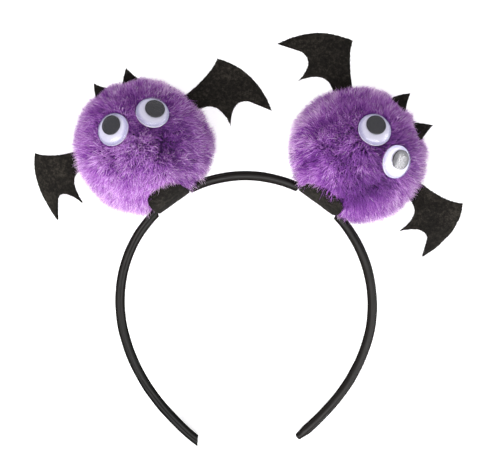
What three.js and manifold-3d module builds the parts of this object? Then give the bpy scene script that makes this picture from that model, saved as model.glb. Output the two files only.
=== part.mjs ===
// Bat headband: a satin-covered hoop that carries two fur pompom bats with felt wings,
// felt ears and loose-pupil eyes. Units are millimetres.
// The hoop frame has its origin at the centre of the crown arc, x to the right, y to the crown
// and z to the front. The finished headband lies on its back on z = 0, +Z up.

import * as THREE from 'three';
import { mergeVertices } from 'three/addons/utils/BufferGeometryUtils.js';
import Module from 'manifold-3d';

const wasm = await Module();
wasm.setup();

// Hoop: a crown arc and two flatter arms, measured to the middle of the band
const hoopRadius = 58.2;
const armRadius = 84.2;
const leftCrownTurn = 106.5;
const leftArmTurn = 40;
const rightCrownTurn = 103;
const rightArmTurn = 40.6;
const bandThickness = 4.4;
const bandDepth = 7;
const bandEdge = 1.1;
const tipLength = 5;
const tipThickness = 3.2;

// Pompoms, measured over the tips of the fur locks
const pompomRadius = 32.3;
const lockDepth = 2.6;
const lockSharpness = 0.8;
const lockLean = 1.3;
const lockDroop = 0.25;
const lockUnevenness = 0.9;
const restPress = 2.3;

// Felt patch that cradles each pompom, closes over the band and is pressed flush into its padding
const felt = 1.2;
const patchDraw = 2.5;

// Wings and ears, cut from the same felt
const wingSpan = 32.6;
const wingRoot = 9.4;
const wingTab = 7;
const wingTabTaper = 0.7;
const earWidth = 8.4;
const earHeight = 7;
const earTab = 5;
const earTabTaper = 0.8;
const earSink = 2.4;

// Eyes: a white cup, a clear dome and a loose black pupil
const eyeDiameter = 15;
const eyeSink = 4.1;
const cupFloor = 0.9;
const domeWall = 0.6;
const domeSkirt = 1.1;
const domeRise = 2.1;
const pupilDiameter = 9;
const pupilThickness = 0.7;

// Clearance between neighbouring pieces, the length that reaches past them all, and the distance
// under which two corners are one
const gap = 0.3;
const farReach = 8 * pompomRadius;
const weldTolerance = 1e-4;

// Mesh fineness
const crownSteps = 45;
const armSteps = 9;
const furMesh = 9;
const furLocks = 4;
const roundSteps = 24;
const curveSteps = 6;
const capSteps = 3;

// Wing outline from the upper root to the lower root: each edge bows through one control point,
// all as shares of wingSpan, out from the root and up from its middle
const wingEdges = [
  { edge: 'leading edge', bowOut: 0.413, bowUp: 0.256, endOut: 0.592, endUp: 0.423 },
  { edge: 'outer edge', bowOut: 1.038, bowUp: 0.06, endOut: 1, endUp: -0.567 },
  { edge: 'outer scallop', bowOut: 0.6, bowUp: -0.003, endOut: 0.377, endUp: -0.531 },
];
const innerScallop = { bowOut: 0.367, bowUp: -0.061 };

// Ear outline from its right foot to its left one, as shares of half earWidth and of earHeight
const earEdges = [
  { edge: 'hollow side', bowOut: 0.45, bowUp: 0.45, endOut: 0, endUp: 1 },
  { edge: 'full side', bowOut: -0.6, bowUp: 0.55, endOut: -1, endUp: 0 },
];

// Felt patch outline, seen from the front, from its crown end to its far end: each edge bows
// through two control points, as shares of half its length, away from the crown, and of its rise
const patchStart = -0.92;
const patchEdges = [
  {
    edge: 'crown corner', bowOut: -0.98, bowUp: 0, leadOut: -1, leadUp: 0.05,
    endOut: -0.98, endUp: 0.15,
  },
  {
    edge: 'crown side', bowOut: -0.86, bowUp: 0.62, leadOut: -0.55, leadUp: 1,
    endOut: 0, endUp: 1,
  },
  {
    edge: 'far side', bowOut: 0.7, bowUp: 1, leadOut: 1, leadUp: 0.85,
    endOut: 1, endUp: 0.42,
  },
  {
    edge: 'far corner', bowOut: 1, bowUp: 0.12, leadOut: 0.93, leadUp: 0,
    endOut: 0.74, endUp: 0,
  },
];

// Bats: place on the hoop in degrees from the crown, roll of the face, and the felt patch with
// its length and rise as shares of pompomRadius.
// Wings: seat as a share of pompomRadius and degrees above the face's level, cant in the
// face's plane, droop of the wing to the back, pitch of its lower edge to the back and curl
// over the span, in degrees.
// Ears: degrees to the side of the face's top, and lean of the ear from that direction.
// Eyes: direction from the pompom's middle, across and up, as shares of a unit length, and
// the way the pupil has slid, in degrees.
// Creases: valleys in the fur of the front, as shares of pompomRadius.
const bats = [
  {
    side: 'left', hoopTurn: -33.2, roll: 24, patchTurn: -36, patchLength: 0.57,
    patchRise: 0.27,
    wings: [
      { name: 'outer', side: -1, seat: 0.92, rise: 11.5, cant: -5.3, droop: 25, pitch: 11.5, curl: 22 },
      { name: 'inner', side: 1, seat: 0.92, rise: 18, cant: 0, droop: 1, pitch: 4, curl: 2 },
    ],
    ears: [
      { name: 'outer', turn: 14, lean: 2 },
      { name: 'inner', turn: -13, lean: 8 },
    ],
    eyes: [
      { name: 'outer', across: -0.285, up: 0.352, slide: 90 },
      { name: 'inner', across: 0.369, up: 0.345, slide: 35 },
    ],
    creases: [
      { fromAcross: 0.2, fromUp: 0.2, toAcross: 0.27, toUp: -0.18, spread: 0.1, depth: 0.07 },
      { fromAcross: 0.27, fromUp: -0.18, toAcross: 0.3, toUp: -0.6, spread: 0.12, depth: 0.09 },
    ],
  },
  {
    side: 'right', hoopTurn: 37, roll: -54, patchTurn: 36, patchLength: 0.67,
    patchRise: 0.2,
    wings: [
      { name: 'inner', side: -1, seat: 0.92, rise: 23, cant: 12, droop: 1, pitch: -4, curl: 13 },
      { name: 'outer', side: 1, seat: 0.95, rise: 21, cant: 0, droop: 1, pitch: 18, curl: 48 },
    ],
    ears: [
      { name: 'inner', turn: 14, lean: -7 },
      { name: 'outer', turn: -16, lean: 2 },
    ],
    eyes: [
      { name: 'inner', across: -0.137, up: 0.345, slide: 128 },
      { name: 'outer', across: 0.455, up: 0.335, slide: 80 },
    ],
    creases: [
      { fromAcross: -0.71, fromUp: -0.6, toAcross: -0.7, toUp: -0.2, spread: 0.1, depth: 0.07 },
      { fromAcross: -0.38, fromUp: -0.78, toAcross: -0.42, toUp: -0.4, spread: 0.1, depth: 0.07 },
      { fromAcross: 0.49, fromUp: -0.49, toAcross: 0.74, toUp: 0.23, spread: 0.12, depth: 0.08 },
    ],
  },
];

const zAxis = new THREE.Vector3(0, 0, 1);
const radians = THREE.MathUtils.degToRad;

const patchInner = pompomRadius - patchDraw - felt;
const pompomReach = hoopRadius - bandThickness / 2 + felt + patchInner;

const finish = {
  satin: () => new THREE.MeshStandardMaterial({ color: 0x1d1b1e, roughness: 0.45 }),
  fur: () => new THREE.MeshStandardMaterial({ color: 0x8a50a5, roughness: 0.95 }),
  felt: () => new THREE.MeshStandardMaterial({ color: 0x2d2a26, roughness: 0.95 }),
  eyeWhite: () => new THREE.MeshStandardMaterial({ color: 0xf1eff6, roughness: 0.3 }),
  clear: () => new THREE.MeshStandardMaterial({
    color: 0xffffff, roughness: 0.05, transparent: true, opacity: 0.3,
  }),
  pupil: () => new THREE.MeshStandardMaterial({ color: 0x121216, roughness: 0.25 }),
};

// Positions alone, with shared corners merged
function welded(geometry) {
  const bare = geometry.clone();
  bare.deleteAttribute('normal');
  bare.deleteAttribute('uv');
  return mergeVertices(bare, weldTolerance);
}

function solidOf(geometry) {
  const shell = welded(geometry);
  return new wasm.Manifold(new wasm.Mesh({
    numProp: 3,
    vertProperties: Float32Array.from(shell.attributes.position.array),
    triVerts: Uint32Array.from(shell.index.array),
  }));
}

function geometryOf(solid) {
  const mesh = solid.getMesh();
  const geometry = new THREE.BufferGeometry();
  geometry.setAttribute('position', new THREE.BufferAttribute(mesh.vertProperties, 3));
  geometry.setIndex(new THREE.BufferAttribute(mesh.triVerts, 1));
  geometry.computeVertexNormals();
  return geometry;
}

function piece(name, geometry, material) {
  const mesh = new THREE.Mesh(geometry, material);
  mesh.name = name;
  return mesh;
}

function smooth(share) {
  const s = THREE.MathUtils.clamp(share, 0, 1);
  return s * s * (3 - 2 * s);
}

// A repeatable spread of numbers from 0 to 1, one for each whole number and channel
function scatter(index, channel) {
  const wave = Math.sin(index * 12.9898 + channel * 78.233) * 43758.5453;
  return wave - Math.floor(wave);
}

// Point of the hoop where its outward direction is turned by so many degrees from the crown
function hoopPoint(turn, offset) {
  const side = Math.sign(turn);
  const crownTurn = side < 0 ? leftCrownTurn : rightCrownTurn;
  const onArm = Math.abs(turn) > crownTurn;
  const shift = onArm ? hoopRadius - armRadius : 0;
  const radius = (onArm ? armRadius : hoopRadius) + offset;
  return new THREE.Vector2(
    side * shift * Math.sin(radians(crownTurn)) + radius * Math.sin(radians(turn)),
    shift * Math.cos(radians(crownTurn)) + radius * Math.cos(radians(turn)),
  );
}

function hoopTurns() {
  const turns = [];
  for (let step = armSteps; step > 0; step -= 1) {
    turns.push(-leftCrownTurn - (leftArmTurn * step) / armSteps);
  }
  for (let step = 0; step <= crownSteps; step += 1) {
    turns.push(THREE.MathUtils.lerp(-leftCrownTurn, rightCrownTurn, step / crownSteps));
  }
  for (let step = 1; step <= armSteps; step += 1) {
    turns.push(rightCrownTurn + (rightArmTurn * step) / armSteps);
  }
  return turns;
}

// The right tip is pinched: the band narrows over tipLength
function halfThickness(turn) {
  const toEnd = radians(rightCrownTurn + rightArmTurn - turn) * armRadius;
  const pinch = 1 - smooth(toEnd / tipLength);
  return THREE.MathUtils.lerp(bandThickness, tipThickness, pinch) / 2;
}

function bandShape(grow) {
  const turns = hoopTurns();
  const lastTurn = turns[turns.length - 1];
  const pinchStart = lastTurn - THREE.MathUtils.radToDeg(tipLength / armRadius);
  const stops = [...turns.slice(0, -1), pinchStart, (pinchStart + lastTurn) / 2, lastTurn];
  stops.sort((a, b) => a - b);
  const outer = stops.map((turn) => hoopPoint(turn, halfThickness(turn) + grow));
  const inner = stops.map((turn) => hoopPoint(turn, -halfThickness(turn) - grow));
  const nose = hoopPoint(lastTurn + THREE.MathUtils.radToDeg(bandEdge / armRadius), 0);
  return new THREE.Shape([...outer, nose, ...inner.reverse()]);
}

function bandGeometry() {
  const geometry = new THREE.ExtrudeGeometry(bandShape(0), {
    depth: bandDepth - 2 * bandEdge,
    bevelThickness: bandEdge,
    bevelSize: bandEdge,
    bevelOffset: -bandEdge,
    bevelSegments: 2,
  });
  return geometry.translate(0, 0, bandEdge - bandDepth / 2);
}

// The space that the band needs where it passes through something
function bandPassage() {
  const depth = bandDepth + 2 * gap;
  const geometry = new THREE.ExtrudeGeometry(bandShape(gap), { depth, bevelEnabled: false });
  return geometry.translate(0, 0, -depth / 2);
}

// Frame whose y axis points out of the hoop at so many degrees from the crown
function radialFrame(turn) {
  return new THREE.Matrix4().makeRotationZ(-radians(turn));
}

// Height of the pompom's middle above the hoop's centre, along its felt patch
function cradleHeight(bat) {
  return pompomReach * Math.cos(radians(bat.hoopTurn - bat.patchTurn));
}

function patchSpan(bat) {
  return bat.patchLength * pompomRadius;
}

// Under the felt the padded band is pressed flat
function bandSeat(bat) {
  const low = hoopRadius - bandThickness;
  const halfDepth = bandDepth / 2;
  const roof = cradleHeight(bat) - Math.sqrt(patchInner ** 2 - halfDepth ** 2) + gap;
  const height = roof - low + bandThickness;
  const geometry = new THREE.BoxGeometry(patchSpan(bat) + 2 * gap, height, 2 * bandDepth);
  geometry.translate(0, roof - height / 2, 0);
  return geometry.applyMatrix4(radialFrame(bat.patchTurn));
}

function makeBand() {
  let band = solidOf(bandGeometry());
  for (const bat of bats) band = band.subtract(solidOf(bandSeat(bat)));
  return piece('band', geometryOf(band), finish.satin());
}

function patchShape(bat, grow) {
  const half = patchSpan(bat) / 2 + grow;
  const low = cradleHeight(bat) - pompomRadius - grow;
  const rise = bat.patchRise * pompomRadius + 2 * grow;
  const across = (share) => Math.sign(bat.hoopTurn) * share * half;
  const up = (share) => low + patchDraw + share * rise;
  const shape = new THREE.Shape();
  shape.moveTo(across(patchStart), low);
  shape.lineTo(across(patchStart), up(0));
  for (const row of patchEdges) {
    shape.bezierCurveTo(
      across(row.bowOut), up(row.bowUp), across(row.leadOut), up(row.leadUp),
      across(row.endOut), up(row.endUp),
    );
  }
  shape.lineTo(shape.currentPoint.x, low);
  return shape;
}

function patchPrism(bat, grow) {
  const geometry = new THREE.ExtrudeGeometry(patchShape(bat, grow), {
    depth: farReach, curveSegments: curveSteps, bevelEnabled: false,
  });
  return geometry.translate(0, 0, -farReach / 2);
}

// A round bar along the felt patch, with its axis through the middle of the pompom
function patchBar(bat, radius) {
  const geometry = new THREE.CylinderGeometry(radius, radius, farReach, 2 * roundSteps);
  geometry.rotateZ(Math.PI / 2);
  return geometry.translate(0, cradleHeight(bat), 0);
}

function makePatch(bat) {
  const outer = solidOf(patchBar(bat, patchInner + felt));
  const wrap = outer.subtract(solidOf(patchBar(bat, patchInner)));
  const body = wrap.intersect(solidOf(patchPrism(bat, 0)));
  const mesh = piece(`${bat.side}_felt_patch`, geometryOf(body), finish.felt());
  mesh.rotation.z = -radians(bat.patchTurn);
  return mesh;
}

// Fur outside the felt patch is held clear of it
function patchHollow(bat) {
  const block = solidOf(patchPrism(bat, gap));
  const kept = solidOf(patchBar(bat, patchInner - gap));
  return geometryOf(block.subtract(kept)).applyMatrix4(radialFrame(bat.patchTurn));
}

function wingShape(wing) {
  const half = wingRoot / 2;
  const out = (share) => wing.side * share * wingSpan;
  const shape = new THREE.Shape();
  shape.moveTo(-wing.side * wingTab, -wingTabTaper * half);
  shape.lineTo(-wing.side * wingTab, wingTabTaper * half);
  shape.lineTo(0, half);
  for (const row of wingEdges) {
    shape.quadraticCurveTo(
      out(row.bowOut), row.bowUp * wingSpan, out(row.endOut), row.endUp * wingSpan,
    );
  }
  shape.quadraticCurveTo(out(innerScallop.bowOut), innerScallop.bowUp * wingSpan, 0, -half);
  return shape;
}

// A flat felt cutting, grown on every side by the clearance that it needs
function cutting(shape, grow) {
  const geometry = new THREE.ExtrudeGeometry(shape, {
    depth: felt,
    curveSegments: curveSteps,
    bevelEnabled: grow > 0,
    bevelThickness: grow,
    bevelSize: grow,
    bevelSegments: 1,
  });
  return geometry.translate(0, 0, -felt / 2);
}

// Curls what lies outward of the root towards the back, along an arc
function curled(geometry, wing) {
  if (wing.curl === 0) return geometry;
  const arc = wingSpan / radians(wing.curl);
  const position = geometry.attributes.position;
  for (let index = 0; index < position.count; index += 1) {
    const out = wing.side * position.getX(index);
    if (out > 0) {
      const reach = arc + position.getZ(index);
      position.setX(index, wing.side * reach * Math.sin(out / arc));
      position.setZ(index, reach * Math.cos(out / arc) - arc);
    }
  }
  return geometry;
}

function makeWing(bat, wing) {
  const name = `${bat.side}_bat_${wing.name}_wing`;
  const mesh = piece(name, curled(cutting(wingShape(wing), 0), wing), finish.felt());
  const seat = wing.seat * pompomRadius;
  mesh.position.set(
    wing.side * seat * Math.cos(radians(wing.rise)), seat * Math.sin(radians(wing.rise)), 0,
  );
  mesh.rotation.order = 'YXZ';
  mesh.rotation.y = wing.side * radians(wing.droop);
  mesh.rotation.x = radians(wing.pitch);
  mesh.rotation.z = wing.side * radians(wing.cant);
  return mesh;
}

function earShape() {
  const half = earWidth / 2;
  const shape = new THREE.Shape();
  shape.moveTo(-earTabTaper * half, -earTab);
  shape.lineTo(earTabTaper * half, -earTab);
  shape.lineTo(half, 0);
  for (const row of earEdges) {
    shape.quadraticCurveTo(
      row.bowOut * half, row.bowUp * earHeight, row.endOut * half, row.endUp * earHeight,
    );
  }
  return shape;
}

function makeEar(bat, ear) {
  const mesh = piece(`${bat.side}_bat_${ear.name}_ear`, cutting(earShape(), 0), finish.felt());
  const turn = radians(ear.turn);
  const seat = pompomRadius - earSink;
  mesh.position.set(-seat * Math.sin(turn), seat * Math.cos(turn), 0);
  mesh.rotation.z = turn + radians(ear.lean);
  return mesh;
}

// A turned solid about z from a profile of radius and height that starts and ends on the axis
function turned(profile) {
  const points = profile.map(([radius, height]) => new THREE.Vector2(radius, height));
  return new THREE.LatheGeometry(points, roundSteps).rotateX(Math.PI / 2);
}

// Heights of a shallow cap that falls from the axis to its rim
function capProfile(rimRadius, rimHeight, rise) {
  const profile = [];
  for (let step = 0; step <= capSteps; step += 1) {
    const share = step / capSteps;
    profile.push([rimRadius * share, rimHeight + rise * (1 - share * share)]);
  }
  return profile;
}

function cupGeometry() {
  const radius = eyeDiameter / 2;
  return turned([[0, 0], [radius, 0], [radius, cupFloor], [0, cupFloor]]);
}

function domeGeometry() {
  const radius = eyeDiameter / 2;
  const foot = cupFloor + gap;
  const shoulder = foot + domeSkirt;
  const outer = capProfile(radius, shoulder, domeRise);
  const inner = capProfile(radius - domeWall, shoulder, domeRise - domeWall);
  return turned([...inner, [radius - domeWall, foot], [radius, foot], ...outer.reverse()]);
}

function pupilGeometry() {
  const radius = pupilDiameter / 2;
  const low = cupFloor + gap;
  const high = low + pupilThickness;
  return turned([[0, low], [radius, low], [radius, high], [0, high]]);
}

function makeEye(bat, eye) {
  const name = `${bat.side}_bat_${eye.name}_eye`;
  const normal = new THREE.Vector3(eye.across, eye.up, 0);
  normal.z = Math.sqrt(1 - normal.lengthSq());
  const group = new THREE.Group();
  group.position.copy(normal).multiplyScalar(pompomRadius - eyeSink);
  group.quaternion.setFromUnitVectors(zAxis, normal);
  group.add(piece(`${name}_cup`, cupGeometry(), finish.eyeWhite()));
  group.add(piece(`${name}_dome`, domeGeometry(), finish.clear()));
  const pupil = piece(`${name}_pupil`, pupilGeometry(), finish.pupil());
  const slip = (eyeDiameter - pupilDiameter) / 2 - domeWall - gap;
  const slide = radians(eye.slide);
  pupil.position.set(slip * Math.cos(slide), slip * Math.sin(slide), 0);
  group.add(pupil);
  return group;
}

// Room for an eye: a round well from below its cup to past the fur
function eyeWell(eyeGroup) {
  const radius = eyeDiameter / 2 + gap;
  const geometry = new THREE.CylinderGeometry(radius, radius, pompomRadius, roundSteps);
  geometry.rotateX(Math.PI / 2);
  geometry.translate(0, 0, pompomRadius / 2 - gap);
  eyeGroup.updateMatrix();
  return geometry.applyMatrix4(eyeGroup.matrix);
}

// How far the creases lower the fur at a place on the front, as a share of pompomRadius
function creaseDepth(bat, direction) {
  if (direction.z < 0) return 0;
  const place = new THREE.Vector3(direction.x, direction.y, 0);
  const nearest = new THREE.Vector3();
  let lowered = 0;
  for (const row of bat.creases) {
    const line = new THREE.Line3(
      new THREE.Vector3(row.fromAcross, row.fromUp, 0),
      new THREE.Vector3(row.toAcross, row.toUp, 0),
    );
    line.closestPointToPoint(place, true, nearest);
    const away = nearest.distanceTo(place) / row.spread;
    lowered = Math.max(lowered, row.depth * Math.exp(-away * away));
  }
  return lowered;
}

// A ball of fur in leaning locks: each lock rises from the valleys to a tip of its own height
function furBall(bat, seed) {
  const geometry = welded(new THREE.IcosahedronGeometry(1, furMesh));
  const tips = welded(new THREE.IcosahedronGeometry(1, furLocks)).attributes.position;
  const lockTurn = Math.sqrt(4 / tips.count);
  const position = geometry.attributes.position;
  const direction = new THREE.Vector3();
  const tip = new THREE.Vector3();
  const lean = new THREE.Vector3();
  for (let index = 0; index < position.count; index += 1) {
    direction.fromBufferAttribute(position, index).normalize();
    let nearest = 0;
    let closest = Infinity;
    for (let lock = 0; lock < tips.count; lock += 1) {
      const turn = tip.fromBufferAttribute(tips, lock).angleTo(direction);
      if (turn < closest) {
        closest = turn;
        nearest = lock;
      }
    }
    const fall = Math.min(closest / lockTurn, 1) ** lockSharpness;
    const height = pompomRadius - lockDepth * fall
      - lockUnevenness * scatter(nearest, seed) * (1 - fall)
      - pompomRadius * creaseDepth(bat, direction);
    lean.set(scatter(nearest, seed + 2) - 0.5, scatter(nearest, seed + 4) - 0.5 - lockDroop, 0);
    lean.projectOnPlane(direction).multiplyScalar(2 * lockLean * (1 - fall));
    direction.multiplyScalar(height).add(lean);
    position.setXYZ(index, direction.x, direction.y, direction.z);
  }
  return geometry;
}

// Everything under the surface that the headband lies on, seen from a piece's own frame
function ground(rest, frame) {
  const geometry = new THREE.BoxGeometry(farReach, farReach, farReach);
  geometry.translate(0, 0, -farReach / 2);
  geometry.applyMatrix4(rest.clone().invert());
  return geometry.applyMatrix4(frame.clone().invert());
}

// Grown copy of a felt piece, in the frame of the bat that carries it
function feltSlot(mesh, geometry) {
  mesh.updateMatrix();
  return geometry.applyMatrix4(mesh.matrix);
}

function batFrame(bat) {
  const turn = radians(bat.hoopTurn);
  const frame = new THREE.Matrix4().makeRotationZ(radians(bat.roll));
  return frame.setPosition(pompomReach * Math.sin(turn), pompomReach * Math.cos(turn), 0);
}

function makeBat(bat, seed, rest) {
  const frame = batFrame(bat);
  const group = new THREE.Group();
  group.applyMatrix4(frame);
  const toBat = frame.clone().invert();
  const wells = [
    bandPassage().applyMatrix4(toBat),
    patchHollow(bat).applyMatrix4(toBat),
    ground(rest, frame),
  ];
  for (const wing of bat.wings) {
    const mesh = makeWing(bat, wing);
    group.add(mesh);
    wells.push(feltSlot(mesh, curled(cutting(wingShape(wing), gap), wing)));
  }
  for (const ear of bat.ears) {
    const mesh = makeEar(bat, ear);
    group.add(mesh);
    wells.push(feltSlot(mesh, cutting(earShape(), gap)));
  }
  for (const eye of bat.eyes) {
    const eyeGroup = makeEye(bat, eye);
    group.add(eyeGroup);
    wells.push(eyeWell(eyeGroup));
  }
  let fur = solidOf(furBall(bat, seed));
  for (const well of wells) fur = fur.subtract(solidOf(well));
  group.add(piece(`${bat.side}_pompom`, geometryOf(largest(fur)), finish.fur()));
  return group;
}

// A cut can part a lock's tip from the ball: the ball alone is kept
function largest(solid) {
  const parts = solid.decompose();
  return parts.reduce((best, part) => (part.volume() > best.volume() ? part : best));
}

// Corner of the band that is furthest in a direction, on one side of the hoop
function bandCorner(bandMesh, side, direction) {
  const position = bandMesh.geometry.attributes.position;
  const corner = new THREE.Vector3();
  const furthest = new THREE.Vector3();
  let reach = -Infinity;
  for (let index = 0; index < position.count; index += 1) {
    corner.fromBufferAttribute(position, index);
    if (side * corner.x > 0 && corner.dot(direction) > reach) {
      reach = corner.dot(direction);
      furthest.copy(corner);
    }
  }
  return furthest;
}

// The surface under the headband touches both tips and presses into both pompoms. It holds the
// line between the tips, and passes below the middle of the pompoms.
function restFrame(bandMesh) {
  const lift = pompomRadius - restPress;
  const span = pompomReach + hoopRadius;
  const down = new THREE.Vector3(0, -lift, -Math.sqrt(span * span - lift * lift)).normalize();
  const left = bandCorner(bandMesh, -1, down);
  const right = bandCorner(bandMesh, 1, down);
  const middle = new THREE.Vector3();
  for (const bat of bats) {
    middle.add(new THREE.Vector3().setFromMatrixPosition(batFrame(bat)).divideScalar(bats.length));
  }
  const across = right.clone().sub(left).normalize();
  const away = middle.clone().sub(left).projectOnPlane(across);
  const slope = Math.asin(lift / away.length());
  const up = new THREE.Vector3().crossVectors(across, away).normalize();
  const normal = up.multiplyScalar(Math.cos(slope)).addScaledVector(away.normalize(), Math.sin(slope));
  const rest = new THREE.Matrix4().makeRotationFromQuaternion(
    new THREE.Quaternion().setFromUnitVectors(normal, zAxis),
  );
  const height = left.clone().applyMatrix4(rest).z;
  return rest.setPosition(0, 0, -height);
}

// Lays the headband down and puts the origin at the bottom centre of its box
function makeHeadband() {
  const headband = new THREE.Group();
  const band = makeBand();
  const rest = restFrame(band);
  headband.add(band);
  bats.forEach((bat, index) => {
    headband.add(makePatch(bat));
    headband.add(makeBat(bat, index + 1, rest));
  });
  headband.applyMatrix4(rest);
  const box = new THREE.Box3().setFromObject(headband, true);
  const centre = box.getCenter(new THREE.Vector3());
  headband.position.add(new THREE.Vector3(-centre.x, -centre.y, -box.min.z));
  const part = new THREE.Group();
  part.add(headband);
  return part;
}

export default makeHeadband();
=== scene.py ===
"""Finished look of a bat headband: a satin-covered hoop with two fur pompom bats.

Shapes are worked out in millimetres in the hoop frame (origin at the centre of the crown arc, x to
the right, y to the crown, z to the front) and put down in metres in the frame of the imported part.
"""

import logging
import math
from dataclasses import dataclass, field
from enum import Enum
from typing import Optional, Sequence, Union

import bpy
import numpy as np
from mathutils import Matrix, Vector


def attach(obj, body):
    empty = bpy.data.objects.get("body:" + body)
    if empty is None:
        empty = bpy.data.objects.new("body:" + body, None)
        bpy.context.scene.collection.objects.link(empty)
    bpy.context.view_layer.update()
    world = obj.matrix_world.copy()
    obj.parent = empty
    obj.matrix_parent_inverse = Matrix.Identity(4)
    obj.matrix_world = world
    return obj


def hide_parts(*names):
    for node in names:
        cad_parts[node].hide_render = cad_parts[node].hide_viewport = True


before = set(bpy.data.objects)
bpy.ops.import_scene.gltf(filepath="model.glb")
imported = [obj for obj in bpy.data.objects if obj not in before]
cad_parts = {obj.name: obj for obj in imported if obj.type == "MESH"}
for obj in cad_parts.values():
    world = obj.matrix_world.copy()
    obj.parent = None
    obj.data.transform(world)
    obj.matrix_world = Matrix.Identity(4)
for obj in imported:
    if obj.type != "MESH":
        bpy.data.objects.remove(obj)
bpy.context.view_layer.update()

MM = 0.001
HEADBAND = "headband"
FUR_MAP = "OFBake"
WEAVE_MAP = "Weave"
log = logging.getLogger("bat_headband")

# Hoop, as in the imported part
HOOP_RADIUS = 58.2
ARM_RADIUS = 84.2
LEFT_CROWN_TURN = 106.5
LEFT_ARM_TURN = 40.0
RIGHT_CROWN_TURN = 103.0
RIGHT_ARM_TURN = 40.6
BAND_THICKNESS = 4.4
BAND_DEPTH = 7.0
TIP_LENGTH = 5.0
TIP_THICKNESS = 3.2

# Pompoms and felt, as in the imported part
POMPOM_RADIUS = 32.3
POMPOM_REACH = 85.8
FELT = 1.2
PATCH_DRAW = 2.5
PATCH_INNER = POMPOM_RADIUS - PATCH_DRAW - FELT
PRESSED = (-0.97, 0.86)
PATCH_START = (-0.92, 0.0)
# Two control points and the end of each edge, in shares of the patch's half length and rise
PATCH_EDGES = (
    ((-0.98, 0.0), (-1.0, 0.05), (-0.98, 0.15)),
    ((-0.86, 0.62), (-0.55, 1.0), (0.0, 1.0)),
    ((0.7, 1.0), (1.0, 0.85), (1.0, 0.42)),
    ((1.0, 0.12), (0.93, 0.0), (0.74, 0.0)),
)
WING_SPAN = 32.6
WING_ROOT = 9.4
WING_TAB = 7.0
WING_REACH_IN_FUR = 9.0
EAR_WIDTH = 8.4
EAR_HEIGHT = 7.0
EAR_TAB = 5.0
EAR_SEAT = 29.9
EAR_BLANK = (0.010, 0.012)

# Eyes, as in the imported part
EYE_RADIUS = 7.5
EYE_SEAT = 28.2
CUP_FLOOR = 0.9
DOME_WALL = 0.6
DOME_SKIRT = 1.1
DOME_RISE = 2.1
PUPIL_RADIUS = 4.5
PUPIL_THICKNESS = 0.7
GAP = 0.3

# Core of the pompoms, hairs, and how far they keep off what the bats carry
CORE_RADIUS = 22.3
CORE_GRID = (40, 72)
CORE_UNEVENNESS = 0.25
# The core takes the darkest, root colour of the fur's ramp: partly painted shade deep in the pile.
CORE_SHADE = 0.05
GOLDEN_TURN = 2.399
HAIR_MIDDLE = 0.55
HAIR_MIDDLE_SIZE = 0.8
CLEARANCE = 0.4
FELT_CLEAR = 0.2
EYE_CLEAR = 0.35
EYE_DEPTH = 0.45
BAND_CLEAR = 0.35
PATCH_CLEAR = 0.25

Array = np.ndarray
Value = Union["Signal", float, int]


class Slot(Enum):
    """The record's material slots."""

    SATIN = "satin"
    FUR = "fur"
    FELT = "felt"
    WHITE = "eye_white"
    CLEAR = "eye_clear"
    PUPIL = "pupil"


class Held(Enum):
    """How a felt piece is kept in its shape."""

    HUNG = "hung"
    STRETCHED = "stretched"


class Lights(Enum):
    """What a lamp lights: everything, or glossy surfaces alone."""

    ALL = True
    GLOSS = False


# Places


def turn_about(axis: str, degrees: float) -> Array:
    """4 by 4 turn about one axis.

    Args:
        axis: x, y or z.
        degrees: the turn, by the right hand.

    Returns:
        The matrix, with the cosine and sine of the turn in the plane across the axis.
    """
    first, second = {"x": (1, 2), "y": (2, 0), "z": (0, 1)}[axis]
    cosine, sine = math.cos(math.radians(degrees)), math.sin(math.radians(degrees))
    made = np.eye(4)
    made[first, first] = made[second, second] = cosine
    made[first, second], made[second, first] = -sine, sine
    return made


def moved_to(x: float, y: float, z: float = 0.0) -> Array:
    """4 by 4 shift.

    Args:
        x: the shift along x.
        y: along y.
        z: along z.

    Returns:
        The matrix.
    """
    made = np.eye(4)
    made[:3, 3] = (x, y, z)
    return made


def facing(normal: Array) -> Array:
    """4 by 4 turn that takes +z to a unit direction by the shortest way.

    Args:
        normal: the unit direction.

    Returns:
        The matrix: the identity, plus the skew matrix K of z cross normal, plus K squared over
        one plus the cosine.
    """
    x, y, z = normal
    skew = np.array([[0, 0, x], [0, 0, y], [-x, -y, 0.0]])
    made = np.eye(4)
    made[:3, :3] += skew + skew @ skew / (1 + z)
    return made


def placed(points: Array, place: Array) -> Array:
    """Points carried by a 4 by 4 place."""
    return points @ place[:3, :3].T + place[:3, 3]


def unit(vectors: Array) -> Array:
    """Vectors divided by their lengths."""
    length = np.linalg.norm(vectors, axis=-1, keepdims=True)
    return vectors / np.maximum(length, 1e-9)


# Where the hoop frame lies in the part's frame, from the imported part
REST = np.array([
    [0.999989, 0.000471, 0.004660, -0.605],
    [0.000471, 0.979749, -0.200231, -29.402],
    [-0.004660, 0.200231, 0.979738, 15.963],
    [0.0, 0.0, 0.0, 1.0],
])


def ease(share: Array) -> Array:
    """Smooth step: 0 below 0, 1 above 1, and 3 s squared less 2 s cubed between."""
    s = np.clip(share, 0, 1)
    return s * s * (3 - 2 * s)


def ripple(points: Array, size: float, seed: int, waves: int = 24) -> Array:
    """Smooth uneven field over points: the mean of sine waves of many directions.

    Args:
        points: n by k places.
        size: the usual distance between a high and the next, in the points' unit.
        seed: names the field.
        waves: how many waves are summed.

    Returns:
        n values, most of them from -1 to 1.
    """
    rng = np.random.default_rng(seed)
    heading = unit(rng.normal(size=(waves, points.shape[1])))
    pitch = 2 * math.pi / (size * rng.uniform(0.7, 1.6, waves))
    phase = rng.uniform(0, 2 * math.pi, waves)
    return np.sin(points @ (heading * pitch[:, None]).T + phase).sum(1) * math.sqrt(2 / waves) / 1.6


# Meshes


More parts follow.
